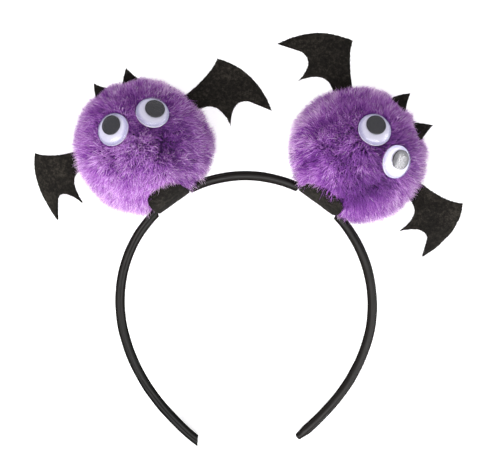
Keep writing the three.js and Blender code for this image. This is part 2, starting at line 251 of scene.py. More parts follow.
@dataclass
class Shell:
    """Points and faces of one or more closed surfaces, in millimetres in the hoop frame."""

    points: Array
    triangles: Array = field(default_factory=lambda: np.zeros((0, 3), np.int64))
    quads: Array = field(default_factory=lambda: np.zeros((0, 4), np.int64))
    chart: Optional[Array] = None

    def carried(self, place: Array) -> "Shell":
        """The same faces on points carried by a place."""
        return Shell(placed(self.points, place), self.triangles, self.quads, self.chart)

    def joined(self, other: "Shell") -> "Shell":
        """Both shells as one.

        Args:
            other: the shell to add.

        Returns:
            The shell, with the other's faces counted on from this one's points.
        """
        count = len(self.points)
        chart = None
        if self.chart is not None and other.chart is not None:
            chart = np.vstack([self.chart, other.chart])
        return Shell(
            np.vstack([self.points, other.points]),
            np.vstack([self.triangles, other.triangles + count]),
            np.vstack([self.quads, other.quads + count]),
            chart,
        )

    def mesh(self, name: str, chart_name: str = WEAVE_MAP) -> bpy.types.Mesh:
        """The shell as a smooth mesh in metres in the part's frame.

        Args:
            name: the mesh's name.
            chart_name: name of the UV map that holds the chart, if there is one.

        Returns:
            The mesh, with one UV pair at each corner, taken from the corner's point.
        """
        points = placed(self.points, REST) * MM
        corners = np.concatenate([self.quads.ravel(), self.triangles.ravel()]).astype(np.int32)
        sizes = np.concatenate([np.full(len(self.quads), 4), np.full(len(self.triangles), 3)])
        starts = np.concatenate([[0], np.cumsum(sizes)[:-1]]).astype(np.int32)
        mesh = bpy.data.meshes.new(name)
        mesh.vertices.add(len(points))
        mesh.vertices.foreach_set("co", points.astype(np.float32).ravel())
        mesh.loops.add(len(corners))
        mesh.loops.foreach_set("vertex_index", corners)
        mesh.polygons.add(len(sizes))
        mesh.polygons.foreach_set("loop_start", starts)
        mesh.polygons.foreach_set("use_smooth", np.ones(len(sizes), bool))
        mesh.update(calc_edges=True)
        if self.chart is not None:
            layer = mesh.uv_layers.new(name=chart_name)
            layer.data.foreach_set("uv", self.chart[corners].astype(np.float32).ravel())
        return mesh


def tube(rings: Array, chart: Optional[Array] = None) -> Shell:
    """Closed surface through a grid of points, with a pole at each end.

    Args:
        rings: rows by columns by 3. Columns run round the surface, and rows along it. The faces
            point outwards where rows, columns and the outward way make a right-handed set.
        chart: rows by columns by 2 values for a UV map, or nothing.

    Returns:
        The shell: a quad between each four neighbours, and a fan from the mean of the first and
        the last ring.
    """
    rows, columns = rings.shape[:2]
    number = np.arange(rows * columns).reshape(rows, columns)
    after = np.roll(number, -1, axis=1)
    quads = np.stack([number[:-1], number[1:], after[1:], after[:-1]], -1).reshape(-1, 4)
    start, end = rows * columns, rows * columns + 1
    first = np.stack([np.full(columns, start), number[0], after[0]], -1)
    last = np.stack([np.full(columns, end), after[-1], number[-1]], -1)
    points = np.vstack([rings.reshape(-1, 3), rings[0].mean(0), rings[-1].mean(0)])
    flat = None
    if chart is not None:
        flat = np.vstack([chart.reshape(-1, 2), chart[0].mean(0), chart[-1].mean(0)])
    return Shell(points, np.vstack([first, last]), quads, flat)


@dataclass
class Hairs:
    """Hairs by the places of their roots, middles and tips, n by 3 each."""

    roots: Array
    middles: Array
    tips: Array

    def shorten(self, share: Array) -> None:
        """Draws middles and tips back to a share of their way from the roots."""
        for points in (self.middles, self.tips):
            points[:] = self.roots + (points - self.roots) * share[:, None]

    def turn_aside(self, felt: Union["Wing", "Ear"]) -> None:
        """Turns hairs that would run through a felt piece to their root's side of it.

        Args:
            felt: the piece, flat about z = 0 in its own frame.
        """
        clear = FELT / 2 + FELT_CLEAR
        place = felt.place()
        back = np.linalg.inv(place)
        side = np.where(placed(self.roots, back)[:, 2] < 0, -1.0, 1.0)
        for points in (self.middles, self.tips):
            local = placed(points, back)
            through = felt.covers(local) & (side * local[:, 2] < clear)
            local[:, 2] = np.where(through, side * clear, local[:, 2])
            points[:] = placed(local, place)

    def shell(self, width: Array, shade: Array, bent: bool) -> Shell:
        """The hairs as closed three-sided spikes that taper from root to tip.

        Args:
            width: n radii at the root.
            shade: n values for the first UV value; the second is the share along the hair.
            bent: whether the hair has a ring in its middle.

        Returns:
            For each hair, a triangle round the root across the hair's first direction, where
            bent a smaller one round the middle, and one point at the tip.
        """
        count = len(self.roots)
        along = unit((self.middles if bent else self.tips) - self.roots)
        helper = np.where(np.abs(along[:, 2:3]) < 0.9, [[0.0, 0.0, 1.0]], [[1.0, 0.0, 0.0]])
        side = unit(np.cross(along, helper))
        up = np.cross(along, side)
        spin = (np.arange(count) * GOLDEN_TURN)[:, None] + np.arange(3) * 2 * math.pi / 3
        ring = np.cos(spin)[..., None] * side[:, None] + np.sin(spin)[..., None] * up[:, None]
        rings = [self.roots[:, None] + ring * width[:, None, None]]
        heights = [0.0]
        if bent:
            rings.append(self.middles[:, None] + ring * (HAIR_MIDDLE_SIZE * width)[:, None, None])
            heights.append(HAIR_MIDDLE)
        points = np.concatenate([*rings, self.tips[:, None]], axis=1)
        each = points.shape[1]
        faces = [(0, 2, 1)]
        for low in range(0, 3 * len(rings) - 3, 3):
            for a, b in ((0, 1), (1, 2), (2, 0)):
                faces += [(low + a, low + b, low + 3 + b), (low + a, low + 3 + b, low + 3 + a)]
        top = each - 4
        faces += [(top + a, top + b, each - 1) for a, b in ((0, 1), (1, 2), (2, 0))]
        triangles = (np.arange(count)[:, None, None] * each + np.array(faces)).reshape(-1, 3)
        share = np.concatenate([np.repeat(heights, 3), [1.0]])
        chart = np.stack(np.broadcast_arrays(shade[:, None], share[None]), -1).reshape(-1, 2)
        return Shell(points.reshape(-1, 3), triangles, chart=chart)


def add_piece(
    name: str,
    mesh: bpy.types.Mesh,
    material: bpy.types.Material,
    body: str = HEADBAND,
    stands_for: Sequence[str] = (),
) -> bpy.types.Object:
    """Puts a mesh into the scene as a piece that rides on a body.

    Args:
        name: the piece's name.
        mesh: its mesh, in the part's frame.
        material: its material.
        body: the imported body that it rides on.
        stands_for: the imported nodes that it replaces.

    Returns:
        The piece.
    """
    piece = bpy.data.objects.new(name, mesh)
    bpy.context.scene.collection.objects.link(piece)
    mesh.materials.append(material)
    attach(piece, body)
    if stands_for:
        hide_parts(*stands_for)
    log.info("%s: %d faces on body %s", name, len(mesh.polygons), body)
    return piece


# Shaders and finishes


class Signal:
    """One number that varies over a surface, as an expression on shader sockets."""

    def __init__(self, shader: "Shader", socket: bpy.types.NodeSocket) -> None:
        """Wraps a socket of a shader."""
        self.shader = shader
        self.socket = socket

    def _with(self, operation: str, *values: Value) -> "Signal":
        """The result of a Math node on values."""
        inputs = {number: value for number, value in enumerate(values)}
        return self.shader.signal("ShaderNodeMath", {"operation": operation}, inputs)

    def __add__(self, other: Value) -> "Signal":
        """Sum."""
        return self._with("ADD", self, other)

    __radd__ = __add__

    def __mul__(self, other: Value) -> "Signal":
        """Product."""
        return self._with("MULTIPLY", self, other)

    __rmul__ = __mul__

    def __sub__(self, other: Value) -> "Signal":
        """Difference."""
        return self._with("SUBTRACT", self, other)

    def __rsub__(self, other: Value) -> "Signal":
        """Difference from a number."""
        return self._with("SUBTRACT", other, self)

    def __pow__(self, other: Value) -> "Signal":
        """Power."""
        return self._with("POWER", self, other)

    def sine(self) -> "Signal":
        """Sine of the value in radians."""
        return self._with("SINE", self)

    def kept(self, low: float = 0.0, high: float = 1.0) -> "Signal":
        """Value held between low and high."""
        return self._with("MINIMUM", self._with("MAXIMUM", self, low), high)


class Shader:
    """Builds the nodes of one material."""

    def __init__(self, name: str) -> None:
        """Starts an empty material.

        Args:
            name: the material's name.
        """
        self.material = bpy.data.materials.new(name)
        self.material.use_nodes = True
        self.tree = self.material.node_tree
        self.tree.nodes.clear()

    def node(
        self, kind: str, settings: Optional[dict] = None, inputs: Optional[dict] = None
    ) -> bpy.types.ShaderNode:
        """Adds a node.

        Args:
            kind: the node's type.
            settings: its properties, set first; "stops" gives a ramp's places and colours.
            inputs: values or links of its sockets, by name or number.

        Returns:
            The node.
        """
        made = self.tree.nodes.new(kind)
        for key, value in (settings or {}).items():
            if key == "stops":
                ramp = made.color_ramp.elements
                while len(ramp) < len(value):
                    ramp.new(0.5)
                for element, (place, colour) in zip(ramp, value):
                    element.position = place
                    element.color = (*colour, 1.0)
            else:
                setattr(made, key, value)
        for key, value in (inputs or {}).items():
            socket = made.inputs[key]
            if isinstance(value, Signal):
                self.tree.links.new(value.socket, socket)
            elif isinstance(value, bpy.types.NodeSocket):
                self.tree.links.new(value, socket)
            else:
                socket.default_value = value
        return made

    def signal(
        self,
        kind: str,
        settings: Optional[dict] = None,
        inputs: Optional[dict] = None,
        output: Union[int, str] = 0,
    ) -> Signal:
        """Adds a node and wraps one of its outputs."""
        return Signal(self, self.node(kind, settings, inputs).outputs[output])

    def place(self) -> bpy.types.NodeSocket:
        """Object coordinates, in metres."""
        return self.node("ShaderNodeTexCoord").outputs["Object"]

    def chart(self, name: str) -> bpy.types.NodeSocket:
        """The piece's own UV map of that name."""
        return self.node("ShaderNodeUVMap", {"uv_map": name}).outputs["UV"]

    def split(self, vector: bpy.types.NodeSocket) -> tuple[Signal, Signal]:
        """The first two numbers of a vector."""
        parts = self.node("ShaderNodeSeparateXYZ", None, {"Vector": vector}).outputs
        return Signal(self, parts["X"]), Signal(self, parts["Y"])

    def edge_on(self) -> Signal:
        """From 0, where the surface is seen square on, to 1, where it is seen edge on."""
        return self.signal("ShaderNodeLayerWeight", None, {"Blend": 0.5}, "Facing")

    def noise(
        self, size: float, place: bpy.types.NodeSocket, detail: float, rough: float
    ) -> Signal:
        """Noise with features of about size millimetres, from 0 to 1."""
        inputs = {"Vector": place, "Scale": 1 / (size * MM), "Detail": detail, "Roughness": rough}
        return self.signal("ShaderNodeTexNoise", None, inputs)

    def ramp(self, value: Value, stops: Sequence[tuple]) -> bpy.types.NodeSocket:
        """Colour from a value, by stops of place and colour."""
        return self.node("ShaderNodeValToRGB", {"stops": stops}, {"Fac": value}).outputs["Color"]

    def mixed(self, share: Value, first: object, second: object) -> bpy.types.NodeSocket:
        """Colour between two others.

        Args:
            share: how much of the second one there is.
            first: colour at 0.
            second: colour at 1.

        Returns:
            The mixed colour.
        """
        inputs = {0: share, 6: first, 7: second}
        made = self.node("ShaderNodeMix", {"data_type": "RGBA"}, inputs)
        return made.outputs[2]

    def raised(self, height: Value, depth: float) -> bpy.types.NodeSocket:
        """Normal of a surface raised by height times depth, in millimetres."""
        inputs = {"Height": height, "Distance": depth * MM, "Strength": 1.0}
        return self.node("ShaderNodeBump", None, inputs).outputs["Normal"]

    def surface(self, inputs: dict) -> bpy.types.NodeSocket:
        """A Principled surface."""
        return self.node("ShaderNodeBsdfPrincipled", None, inputs).outputs[0]

    def clear(self, colour: tuple) -> bpy.types.NodeSocket:
        """A see-through surface that tints what is behind it."""
        return self.node("ShaderNodeBsdfTransparent", None, {"Color": colour}).outputs[0]

    def between(
        self, share: Value, first: bpy.types.NodeSocket, second: bpy.types.NodeSocket
    ) -> bpy.types.NodeSocket:
        """Surface between first, at 0, and second, at 1."""
        return self.node("ShaderNodeMixShader", None, {0: share, 1: first, 2: second}).outputs[0]

    def finish(self, surface: bpy.types.NodeSocket) -> bpy.types.Material:
        """Ends the material with a surface."""
        self.node("ShaderNodeOutputMaterial", None, {"Surface": surface})
        return self.material


@dataclass(frozen=True)
class FurFinish:
    """Purple pile: dark at the roots, lilac and shiny at the tips.

    The colour runs along a ramp by height along the hair, moved by the hair's own shade. Its dark
    root end is partly painted shade, where the pile shades itself deep down.
    """

    name: str = "purple_fur"
    # root and deep: the fur's own dark base, partly painted shade deep in the pile
    root: tuple = (0.060, 0.009, 0.115)
    deep: tuple = (0.14, 0.024, 0.24)
    body: tuple = (0.28, 0.066, 0.43)
    light: tuple = (0.57, 0.24, 0.69)
    tip: tuple = (0.90, 0.66, 0.93)
    stops: tuple = (0.0, 0.22, 0.5, 0.78, 1.0)
    by_height_squared: float = 0.42
    by_height: float = 0.2
    by_shade: float = 0.8
    darkened: float = 0.18
    roughness: float = 0.45
    gloss: float = 0.1
    sheen: float = 0.03
    sheen_tint: tuple = (0.85, 0.7, 1.0, 1.0)

    def made(self) -> bpy.types.Material:
        """Builds the material.

        Returns:
            The material: the ramp's value sums the height, its square and the hair's shade.
        """
        shader = Shader(self.name)
        shade, along = shader.split(shader.chart(FUR_MAP))
        height = along * along * self.by_height_squared + along * self.by_height
        value = (height + shade * self.by_shade - self.darkened).kept()
        colours = (self.root, self.deep, self.body, self.light, self.tip)
        return shader.finish(shader.surface({
            "Base Color": shader.ramp(value, tuple(zip(self.stops, colours))),
            "Roughness": self.roughness,
            "Specular IOR Level": self.gloss,
            "Sheen Weight": self.sheen,
            "Sheen Roughness": self.roughness,
            "Sheen Tint": self.sheen_tint,
        }))


@dataclass(frozen=True)
class FeltFinish:
    """Black craft felt: matted fibres with brown and olive flecks, and a slightly paler nap."""

    name: str = "black_felt"
    dark: tuple = (0.0022, 0.0019, 0.0016)
    mid: tuple = (0.0082, 0.0071, 0.0058)
    pale: tuple = (0.036, 0.031, 0.025)
    stops: tuple = (0.2, 0.5, 0.85)
    mottle_size: float = 1.7
    fibre_size: float = 0.42
    wear_size: float = 9.0
    nap: float = 0.28
    roughness: float = 0.95
    gloss: float = 0.04
    sheen: float = 0.01
    sheen_roughness: float = 0.6

    def made(self) -> bpy.types.Material:
        """Builds the material.

        Returns:
            The material: mottle, fibres and wear make the colour, and the first two the bump.
        """
        shader = Shader(self.name)
        place = shader.place()
        mottle = shader.noise(self.mottle_size, place, 4.0, 0.65)
        fibre = shader.noise(self.fibre_size, place, 4.0, 0.75)
        worn = shader.noise(self.wear_size, place, 2.0, 0.5)
        value = (mottle + fibre * 0.9 + worn * 0.4 - 0.65).kept()
        colours = (self.dark, self.mid, self.pale)
        return shader.finish(shader.surface({
            "Base Color": shader.ramp(value, tuple(zip(self.stops, colours))),
            "Roughness": self.roughness,
            "Specular IOR Level": self.gloss,
            "Sheen Weight": self.sheen,
            "Sheen Roughness": self.sheen_roughness,
            "Normal": shader.raised(fibre * 0.7 + mottle * 0.5, self.nap),
        }))


@dataclass(frozen=True)
class SatinFinish:
    """Black satin drawn over the hoop: fine slanted ribs across the band, soft streaks along it.

    Seen edge on, the threads turn their gloss away, so a matte face is mixed in there.
    """

    name: str = "black_satin"
    dark: tuple = (0.0015, 0.0013, 0.0012)
    pale: tuple = (0.017, 0.014, 0.0125)
    roughness: float = 0.38
    matte: float = 0.9
    ior: float = 1.22
    gloss: float = 0.4
    edge_fade: float = 1.8
    rib: float = 0.32
    rib_way: tuple = (0.94, 0.34)
    streak_size: float = 0.9
    streak_scale: tuple = (0.12, 1, 1)
    patch_size: float = 7.0
    weave_depth: float = 0.07
    dark_end: float = 0.15

    def made(self) -> bpy.types.Material:
        """Builds the material.

        Returns:
            The material: the chart runs along the hoop in u and round it in v, in metres. The
            share of the pale colour sums ribs, streaks and patches; the paler streaks along the
            band are painted sheen. The share is smallest at the left tip and grows to its full
            value at
            0.1 m from it.
        """
        shader = Shader(self.name)
        chart = shader.chart(WEAVE_MAP)
        along, around = shader.split(chart)
        pitch = 2 * math.pi / (self.rib * MM)
        ribs = ((along * self.rib_way[0] + around * self.rib_way[1]) * pitch).sine() * 0.5 + 0.5
        drawn_out = {"Vector": chart, "Scale": self.streak_scale}
        stretched = shader.node("ShaderNodeMapping", None, drawn_out).outputs["Vector"]
        sheen_streak = shader.noise(self.streak_size, stretched, 3.0, 0.6)
        patch = shader.noise(self.patch_size, shader.place(), 2.0, 0.5)
        from_tip = (along * 12 - 0.2).kept() * (1 - self.dark_end) + self.dark_end
        # the streaks paint sheen into the colour; they also vary the roughness and the bump
        value = (sheen_streak * 0.8 + ribs * 0.25 + patch * 0.3 - 0.25).kept() * from_tip
        roughness = (sheen_streak * 0.22 + patch * 0.12 + (self.roughness - 0.15)).kept(0.15, 0.9)
        common = {
            "Base Color": shader.mixed(value, (*self.dark, 1), (*self.pale, 1)),
            "Normal": shader.raised(ribs * 0.25 + sheen_streak, self.weave_depth),
        }
        glossy = {"IOR": self.ior, "Specular IOR Level": self.gloss, "Roughness": roughness}
        matte = {"Specular IOR Level": 0.0, "Roughness": self.matte}
        return shader.finish(shader.between(
            (shader.edge_on() * self.edge_fade).kept(),
            shader.surface({**common, **glossy}), shader.surface({**common, **matte}),
        ))


@dataclass(frozen=True)
class PlasticFinish:
    """Moulded plastic with faint flow marks and small handling scuffs."""

    name: str
    colour: tuple
    scuffed: tuple
    roughness: float
    gloss: float = 0.5
    scuff_size: float = 0.7
    flow_size: float = 5.0
    flow_depth: float = 0.04

    def made(self) -> bpy.types.Material:
        """Builds the material.

        Returns:
            The material: scuffs paint the second colour and add roughness.
        """
        shader = Shader(self.name)
        place = shader.place()
        scuff = (shader.noise(self.scuff_size, place, 5.0, 0.7) * 2.2 - 1.25).kept()
        flow = shader.noise(self.flow_size, place, 2.0, 0.5)
        return shader.finish(shader.surface({
            "Base Color": shader.mixed(scuff, (*self.colour, 1), (*self.scuffed, 1)),
            "Roughness": (scuff * 0.15 + flow * 0.08 + (self.roughness - 0.04)).kept(0.02, 1.0),
            "Specular IOR Level": self.gloss,
            "Normal": shader.raised(flow, self.flow_depth),
        }))


@dataclass(frozen=True)
class DomeFinish:
    """Thin clear plastic: it lets light through, and mirrors more towards its edge."""

    name: str = "clear_dome"
    cap: tuple = (0.985, 0.98, 1.0, 1.0)
    wall_painted_shade: tuple = (0.80, 0.79, 0.88, 1.0)
    wall_from: float = 0.80
    wall_gain: float = 7.0
    roughness: float = 0.2
    face_share: float = 0.017
    edge_share: float = 0.5

    def made(self) -> bpy.types.Material:
        """Builds the material.

        Returns:
            The material: a clear and a glossy surface, mixed by how steeply it is seen. The
            chart's u is the share of the dome's radius: near the edge, where the wall stands on
            end, what shows through turns a darker lavender grey, painted shade for the light that
            the shoulder bends away.
        """
        shader = Shader(self.name)
        share_out = shader.split(shader.chart(WEAVE_MAP))[0]
        # near the edge the clear part is tinted darker: painted shade
        ring = ((share_out - self.wall_from) * self.wall_gain).kept()
        through = shader.between(ring, shader.clear(self.cap), shader.clear(self.wall_painted_shade))
        gloss = shader.node(
            "ShaderNodeBsdfAnisotropic", None, {"Color": (1, 1, 1, 1), "Roughness": self.roughness}
        )
        mirrored = shader.edge_on() ** 5.0 * self.edge_share + self.face_share
        return shader.finish(shader.between(mirrored, through, gloss.outputs[0]))


@dataclass(frozen=True)
class FloorFinish:
    """Plain matte near-white ground, lit a little from below like a light table."""

    name: str = "pale_floor"
    colour: tuple = (0.96, 0.96, 0.96, 1.0)
    roughness: float = 0.9
    gloss: float = 0.1
    glow: float = 0.3

    def made(self) -> bpy.types.Material:
        """The material."""
        shader = Shader(self.name)
        return shader.finish(shader.surface({
            "Base Color": self.colour,
            "Roughness": self.roughness,
            "Specular IOR Level": self.gloss,
            "Emission Color": self.colour,
            "Emission Strength": self.glow,
        }))


# Hoop


@dataclass
class Hoop:
    """The band: a padded strip with satin drawn over it, gathered along a seam on its front.

    Tables go by the turn from the crown, in degrees, and the cut and rounded tips by three rings.
    """

    finish: bpy.types.Material
    steps: int = 440
    around: int = 56
    squareness: float = 2.5
    front_play: float = 0.05
    pucker: float = 0.045
    pucker_spacing: tuple = (6.0, 2.2)
    seam_depth: float = 0.42
    seam_width: float = 0.34
    seam_wander: float = 0.12
    fold_depth: float = 0.25
    cut_slant: float = 1.3
    cut_reach: float = 9.0
    cut_shares: tuple = (0.3, 0.78, 0.98)
    cut_frays: tuple = ((0.5, 0.0), (0.1, 0.7), (0.0, 1.0))
    round_shares: tuple = (0.86, 0.6, 0.25)
    round_slides: tuple = (0.55, 0.85, 0.95)
    perimeter_share: float = 0.92
    wear_width: float = 5.0
    seam_turns: tuple = (-147, -98, -62, -25, 0, 86, 98, 116, 144)
    seam_out: tuple = (-0.6, 0.1, -0.1, 0.8, 1.2, 1.2, 0.8, 0.9, 1.1)
    wear_turns: tuple = (-147, -140, -132, -118, -98, -80, -62, 0, 62, 86, 106, 120, 134, 144)
    wear_out: tuple = (
        1.2, 0.1, -0.3, -0.4, -0.6, -0.35, 0.0, 0.0, -0.2, 0.0, 0.6, 0.1, -0.75, -0.4
    )

    def worn(self, turns: Array) -> Array:
        """How far wear has bent the hoop outwards of its arcs: the table, evened out."""
        fine = turns[..., None] + np.linspace(-self.wear_width, self.wear_width, 9)
        return np.interp(fine, self.wear_turns, self.wear_out).mean(-1)

    def line(self, turns: Array, offset: Array) -> Array:
        """Points of the hoop's plane by the turn of their outward direction.

        Args:
            turns: degrees from the crown.
            offset: distance outwards from the middle of the band.

        Returns:
            n by 2 points: offset, wear and radius along the outward direction, from the centre of
            the crown arc or, past its end, from the centre of the arm's flatter arc.
        """
        side = np.sign(turns)
        offset = offset + self.worn(turns)
        crown = np.where(side < 0, LEFT_CROWN_TURN, RIGHT_CROWN_TURN)
        on_arm = np.abs(turns) > crown
        shift = np.where(on_arm, HOOP_RADIUS - ARM_RADIUS, 0.0)
        radius = np.where(on_arm, ARM_RADIUS, HOOP_RADIUS) + offset
        crown, turn = np.radians(crown), np.radians(turns)
        return np.stack([
            side * shift * np.sin(crown) + radius * np.sin(turn),
            shift * np.cos(crown) + radius * np.cos(turn),
        ], -1)

    def stations(self) -> tuple[Array, Array]:
        """Turns along the hoop and the length up to each, in millimetres.

        Returns:
            The turns, evenly spaced by length, and the lengths: radius times turn, summed.
        """
        ends = -LEFT_CROWN_TURN - LEFT_ARM_TURN, RIGHT_CROWN_TURN + RIGHT_ARM_TURN
        fine = np.linspace(*ends, 4000)
        line = self.line(fine, np.zeros_like(fine))
        reach = np.concatenate([[0], np.cumsum(np.linalg.norm(np.diff(line, axis=0), axis=1))])
        even = np.linspace(0, reach[-1], self.steps)
        return np.interp(even, reach, fine), even

    def section(self, turns: Array, reach: Array, angle: Array) -> tuple[Array, Array]:
        """Rings of the band across its thickness and its depth.

        Args:
            turns: the turn of each ring.
            reach: the length up to each ring.
            angle: the angles round a ring.

        Returns:
            Distances outwards and to the front. Each ring is a rounded rectangle: the cosine and
            sine of the angle round it, raised to 2 over squareness, times half the thickness and
            half the depth. A groove runs along the front, and small puckers along the band.
            Towards the right tip the band is pinched, and folded where the pinch begins.
        """
        flat, deep = (
            np.sign(wave) * np.abs(wave) ** (2 / self.squareness)
            for wave in (np.cos(angle), np.sin(angle))
        )
        pinch = 1 - ease((reach[-1] - reach) / TIP_LENGTH)
        half = (BAND_THICKNESS + (TIP_THICKNESS - BAND_THICKNESS) * pinch) / 2
        along, round_it = self.pucker_spacing
        spot = np.stack(np.broadcast_arrays(reach[:, None] / along, round_it * angle[None]), -1)
        pucker = self.pucker * ripple(spot.reshape(-1, 2), 2.0, 5).reshape(spot.shape[:2])
        out = flat[None] * (half[:, None] + pucker)
        front = deep[None] * (BAND_DEPTH / 2 - self.front_play + pucker)
        seam_at = np.interp(turns, self.seam_turns, self.seam_out)
        seam_at += self.seam_wander * ripple(reach[:, None], 25.0, 8)
        away = (out - seam_at[:, None]) / self.seam_width
        front -= self.seam_depth * np.exp(-away * away) * (deep[None] > 0.5)
        fold = self.fold_depth * pinch * (1 - pinch) * 4
        front -= fold[:, None] * np.sign(front) * np.exp(-((flat[None] / 0.5) ** 2))
        return out, front

    def with_ends(self, rings: Array) -> Array:
        """Adds three shrinking rings at each tip: a hollow cut end, and a rounded one."""
        cut, rounded_off = (np.array(s)[:, None] for s in (self.cut_shares, self.round_shares))
        return np.vstack([rings[:1] * cut, rings, rings[-1:] * rounded_off])

    def slides(self, reach: Array, angle: Array) -> Array:
        """How far the points of each ring are slid along the band.

        Args:
            reach: the length up to each ring, without the end rings.
            angle: the angles round a ring.

        Returns:
            Distances towards the right tip. The left end is cut at a slant that dies away over
            its reach, and its edge is frayed. The right end's rings stand out as a rounded tip.
        """
        frayed = np.random.default_rng(3).uniform(-0.28, 0.12, self.around)
        across = np.sign(np.cos(angle)) * np.abs(np.cos(angle)) ** (2 / self.squareness)
        slant = -self.cut_slant * ease((self.cut_reach - reach) / self.cut_reach)[:, None] * across
        cut = slant[0] * np.array(self.cut_shares)[:, None]
        cut += np.array([base + share * frayed for base, share in self.cut_frays])
        slant[0] += frayed * 0.5
        tip = np.repeat(np.array(self.round_slides)[:, None], self.around, axis=1)
        return np.vstack([cut, slant, tip])

    def surface(self) -> Shell:
        """The satin surface, from the left tip to the right one.

        Returns:
            The rings of the section and the ends, carried along the hoop's line and slid along
            its tangent. Under the felt patches the inside is pressed flat.
        """
        turns, reach = self.stations()
        angle = np.linspace(0, 2 * math.pi, self.around, endpoint=False)
        out, front = (self.with_ends(rings) for rings in self.section(turns, reach, angle))
        turns, run = (np.pad(row, len(self.cut_shares), mode="edge") for row in (turns, reach))
        spread = np.broadcast_to(turns[:, None], out.shape)
        plane = self.line(spread.ravel(), out.ravel()).reshape(*out.shape, 2)
        tangent = np.stack([np.cos(np.radians(turns)), -np.sin(np.radians(turns))], -1)
        plane = plane + self.slides(reach, angle)[..., None] * tangent[:, None]
        rings = np.concatenate([plane, front[..., None]], -1)
        for bat in BATS:
            rings = bat.pressed_band(rings)
        perimeter = 2 * (BAND_THICKNESS + BAND_DEPTH) * self.perimeter_share
        around = angle / (2 * math.pi) * perimeter
        chart = np.stack(np.broadcast_arrays(run[:, None] * MM, around[None] * MM), -1)
        return tube(rings, chart)

    def build(self) -> None:
        """Makes the band."""
        mesh = self.surface().mesh("satin_band")
        add_piece("satin_band", mesh, self.finish, stands_for=["band"])


# Felt


def quadratic(start: Array, bow: Array, end: Array, steps: int) -> Array:
    """Curve with one control point, without its end.

    Args:
        start: first point.
        bow: control point.
        end: last point.
        steps: number of points.

    Returns:
        Points (1 - t) squared start + 2 t (1 - t) bow + t squared end.
    """
    t = np.linspace(0, 1, steps, endpoint=False)[:, None]
    return (1 - t) ** 2 * start + 2 * t * (1 - t) * bow + t * t * end


def polygon_area(outline: Array) -> float:
    """Area inside a closed outline, by the shoelace formula."""
    x, y = outline[:, 0], outline[:, 1]
    return abs(float(np.sum(x * np.roll(y, -1) - y * np.roll(x, -1)))) / 2


@dataclass
class FeltCutting:
    """A flat piece cut from felt, with a slightly uneven outline and soft edges."""

    outline: Array
    centre: Array
    seed: int
    insets: tuple = (0.0, 0.12, 0.34)
    lowered: tuple = (0.34, 0.12, 0.0)
    shares: tuple = (0.86, 0.68, 0.5, 0.32, 0.16)
    unevenness: float = 0.1
    waviness: float = 0.12
    fibre_reach: tuple = (0.15, 0.75)
    fibre_width: tuple = (0.018, 0.035)

    def shell(self) -> Shell:
        """The cutting as a closed shell, flat about z = 0.

        Returns:
            Rings that shrink from the outline to the centre: the first ones by a fixed inset along
            the spoke from the centre, the others to shares of it. The height is half the felt,
            less a rounding near the edge. The rings run over the front, round the edge and over
            the back.
        """
        outline = self.outline
        step = np.roll(outline, -1, axis=0) - np.roll(outline, 1, axis=0)
        normal = unit(np.stack([step[:, 1], -step[:, 0]], -1))
        normal *= np.sign(np.sum(normal * (outline - self.centre)))
        jag = ripple(outline, 1.6, self.seed) + 0.6 * ripple(outline, 0.6, self.seed + 1)
        outline = outline + normal * (self.unevenness * (jag - 0.8))[:, None]
        spoke = outline - self.centre
        length = np.linalg.norm(spoke, axis=1, keepdims=True)
        rings, heights = [], []
        for inset, lowered in zip(self.insets, self.lowered):
            rings.append(outline - spoke / length * np.minimum(inset, 0.3 * length))
            heights.append(FELT / 2 - lowered)
        for share in self.shares:
            rings.append(self.centre + spoke * share)
            heights.append(FELT / 2)
        flat = np.stack(rings[::-1])
        height = np.array(heights[::-1])[:, None]
        wave = self.waviness * ripple(flat.reshape(-1, 2), 9.0, self.seed + 2)
        wave = wave.reshape(flat.shape[:2])
        front = np.concatenate([flat, (height + wave)[..., None]], -1)
        back = np.concatenate([flat, (wave - height)[..., None]], -1)[::-1]
        rows = np.concatenate([front, back])
        if np.sum(np.cross(outline, np.roll(outline, -1, axis=0))) > 0:
            return tube(rows)
        return tube(rows[:, ::-1])

    def fuzz(self, count: int) -> Shell:
        """Loose fibres along the cut edge.

        Args:
            count: how many.

        Returns:
            Thin hairs, each from a random place on the edge outwards, a little to either side.
        """
        rng = np.random.default_rng(self.seed + 7)
        pick = rng.integers(0, len(self.outline), count)
        after = np.roll(self.outline, -1, axis=0)
        spot = self.outline[pick] + (after - self.outline)[pick] * rng.random((count, 1))
        away = unit(spot - self.centre + rng.normal(0, 2.5, (count, 2)))
        height = rng.uniform(-0.4, 0.4, (count, 1))
        root = np.hstack([spot - 0.25 * unit(spot - self.centre), height])
        reach = rng.uniform(*self.fibre_reach, (count, 1))
        rise = rng.normal(0, 0.4, (count, 1))
        tip = root + np.hstack([away * (0.25 + reach), rise * reach])
        width = rng.uniform(*self.fibre_width, count)
        shell = Hairs(root, root, tip).shell(width, np.zeros(count), bent=False)
        shell.chart = None
        return shell


def add_felt(
    name: str,
    shell: Shell,
    outline: Array,
    finish: bpy.types.Material,
    stands_for: str,
    flat: Optional[tuple] = None,
) -> None:
    """Args:
        name: the piece's name.
        shell: its shape.
        outline: its flat outline, in millimetres.
        finish: the felt.
        stands_for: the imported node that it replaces.
        flat: length and width of its blank in metres; without it, the outline's own.
    """
    piece = add_piece(name, shell.mesh(name), finish, stands_for=[stands_for])
    size = flat or tuple(float(side) for side in (outline.max(0) - outline.min(0)) * MM)
    area = polygon_area(outline) * MM * MM


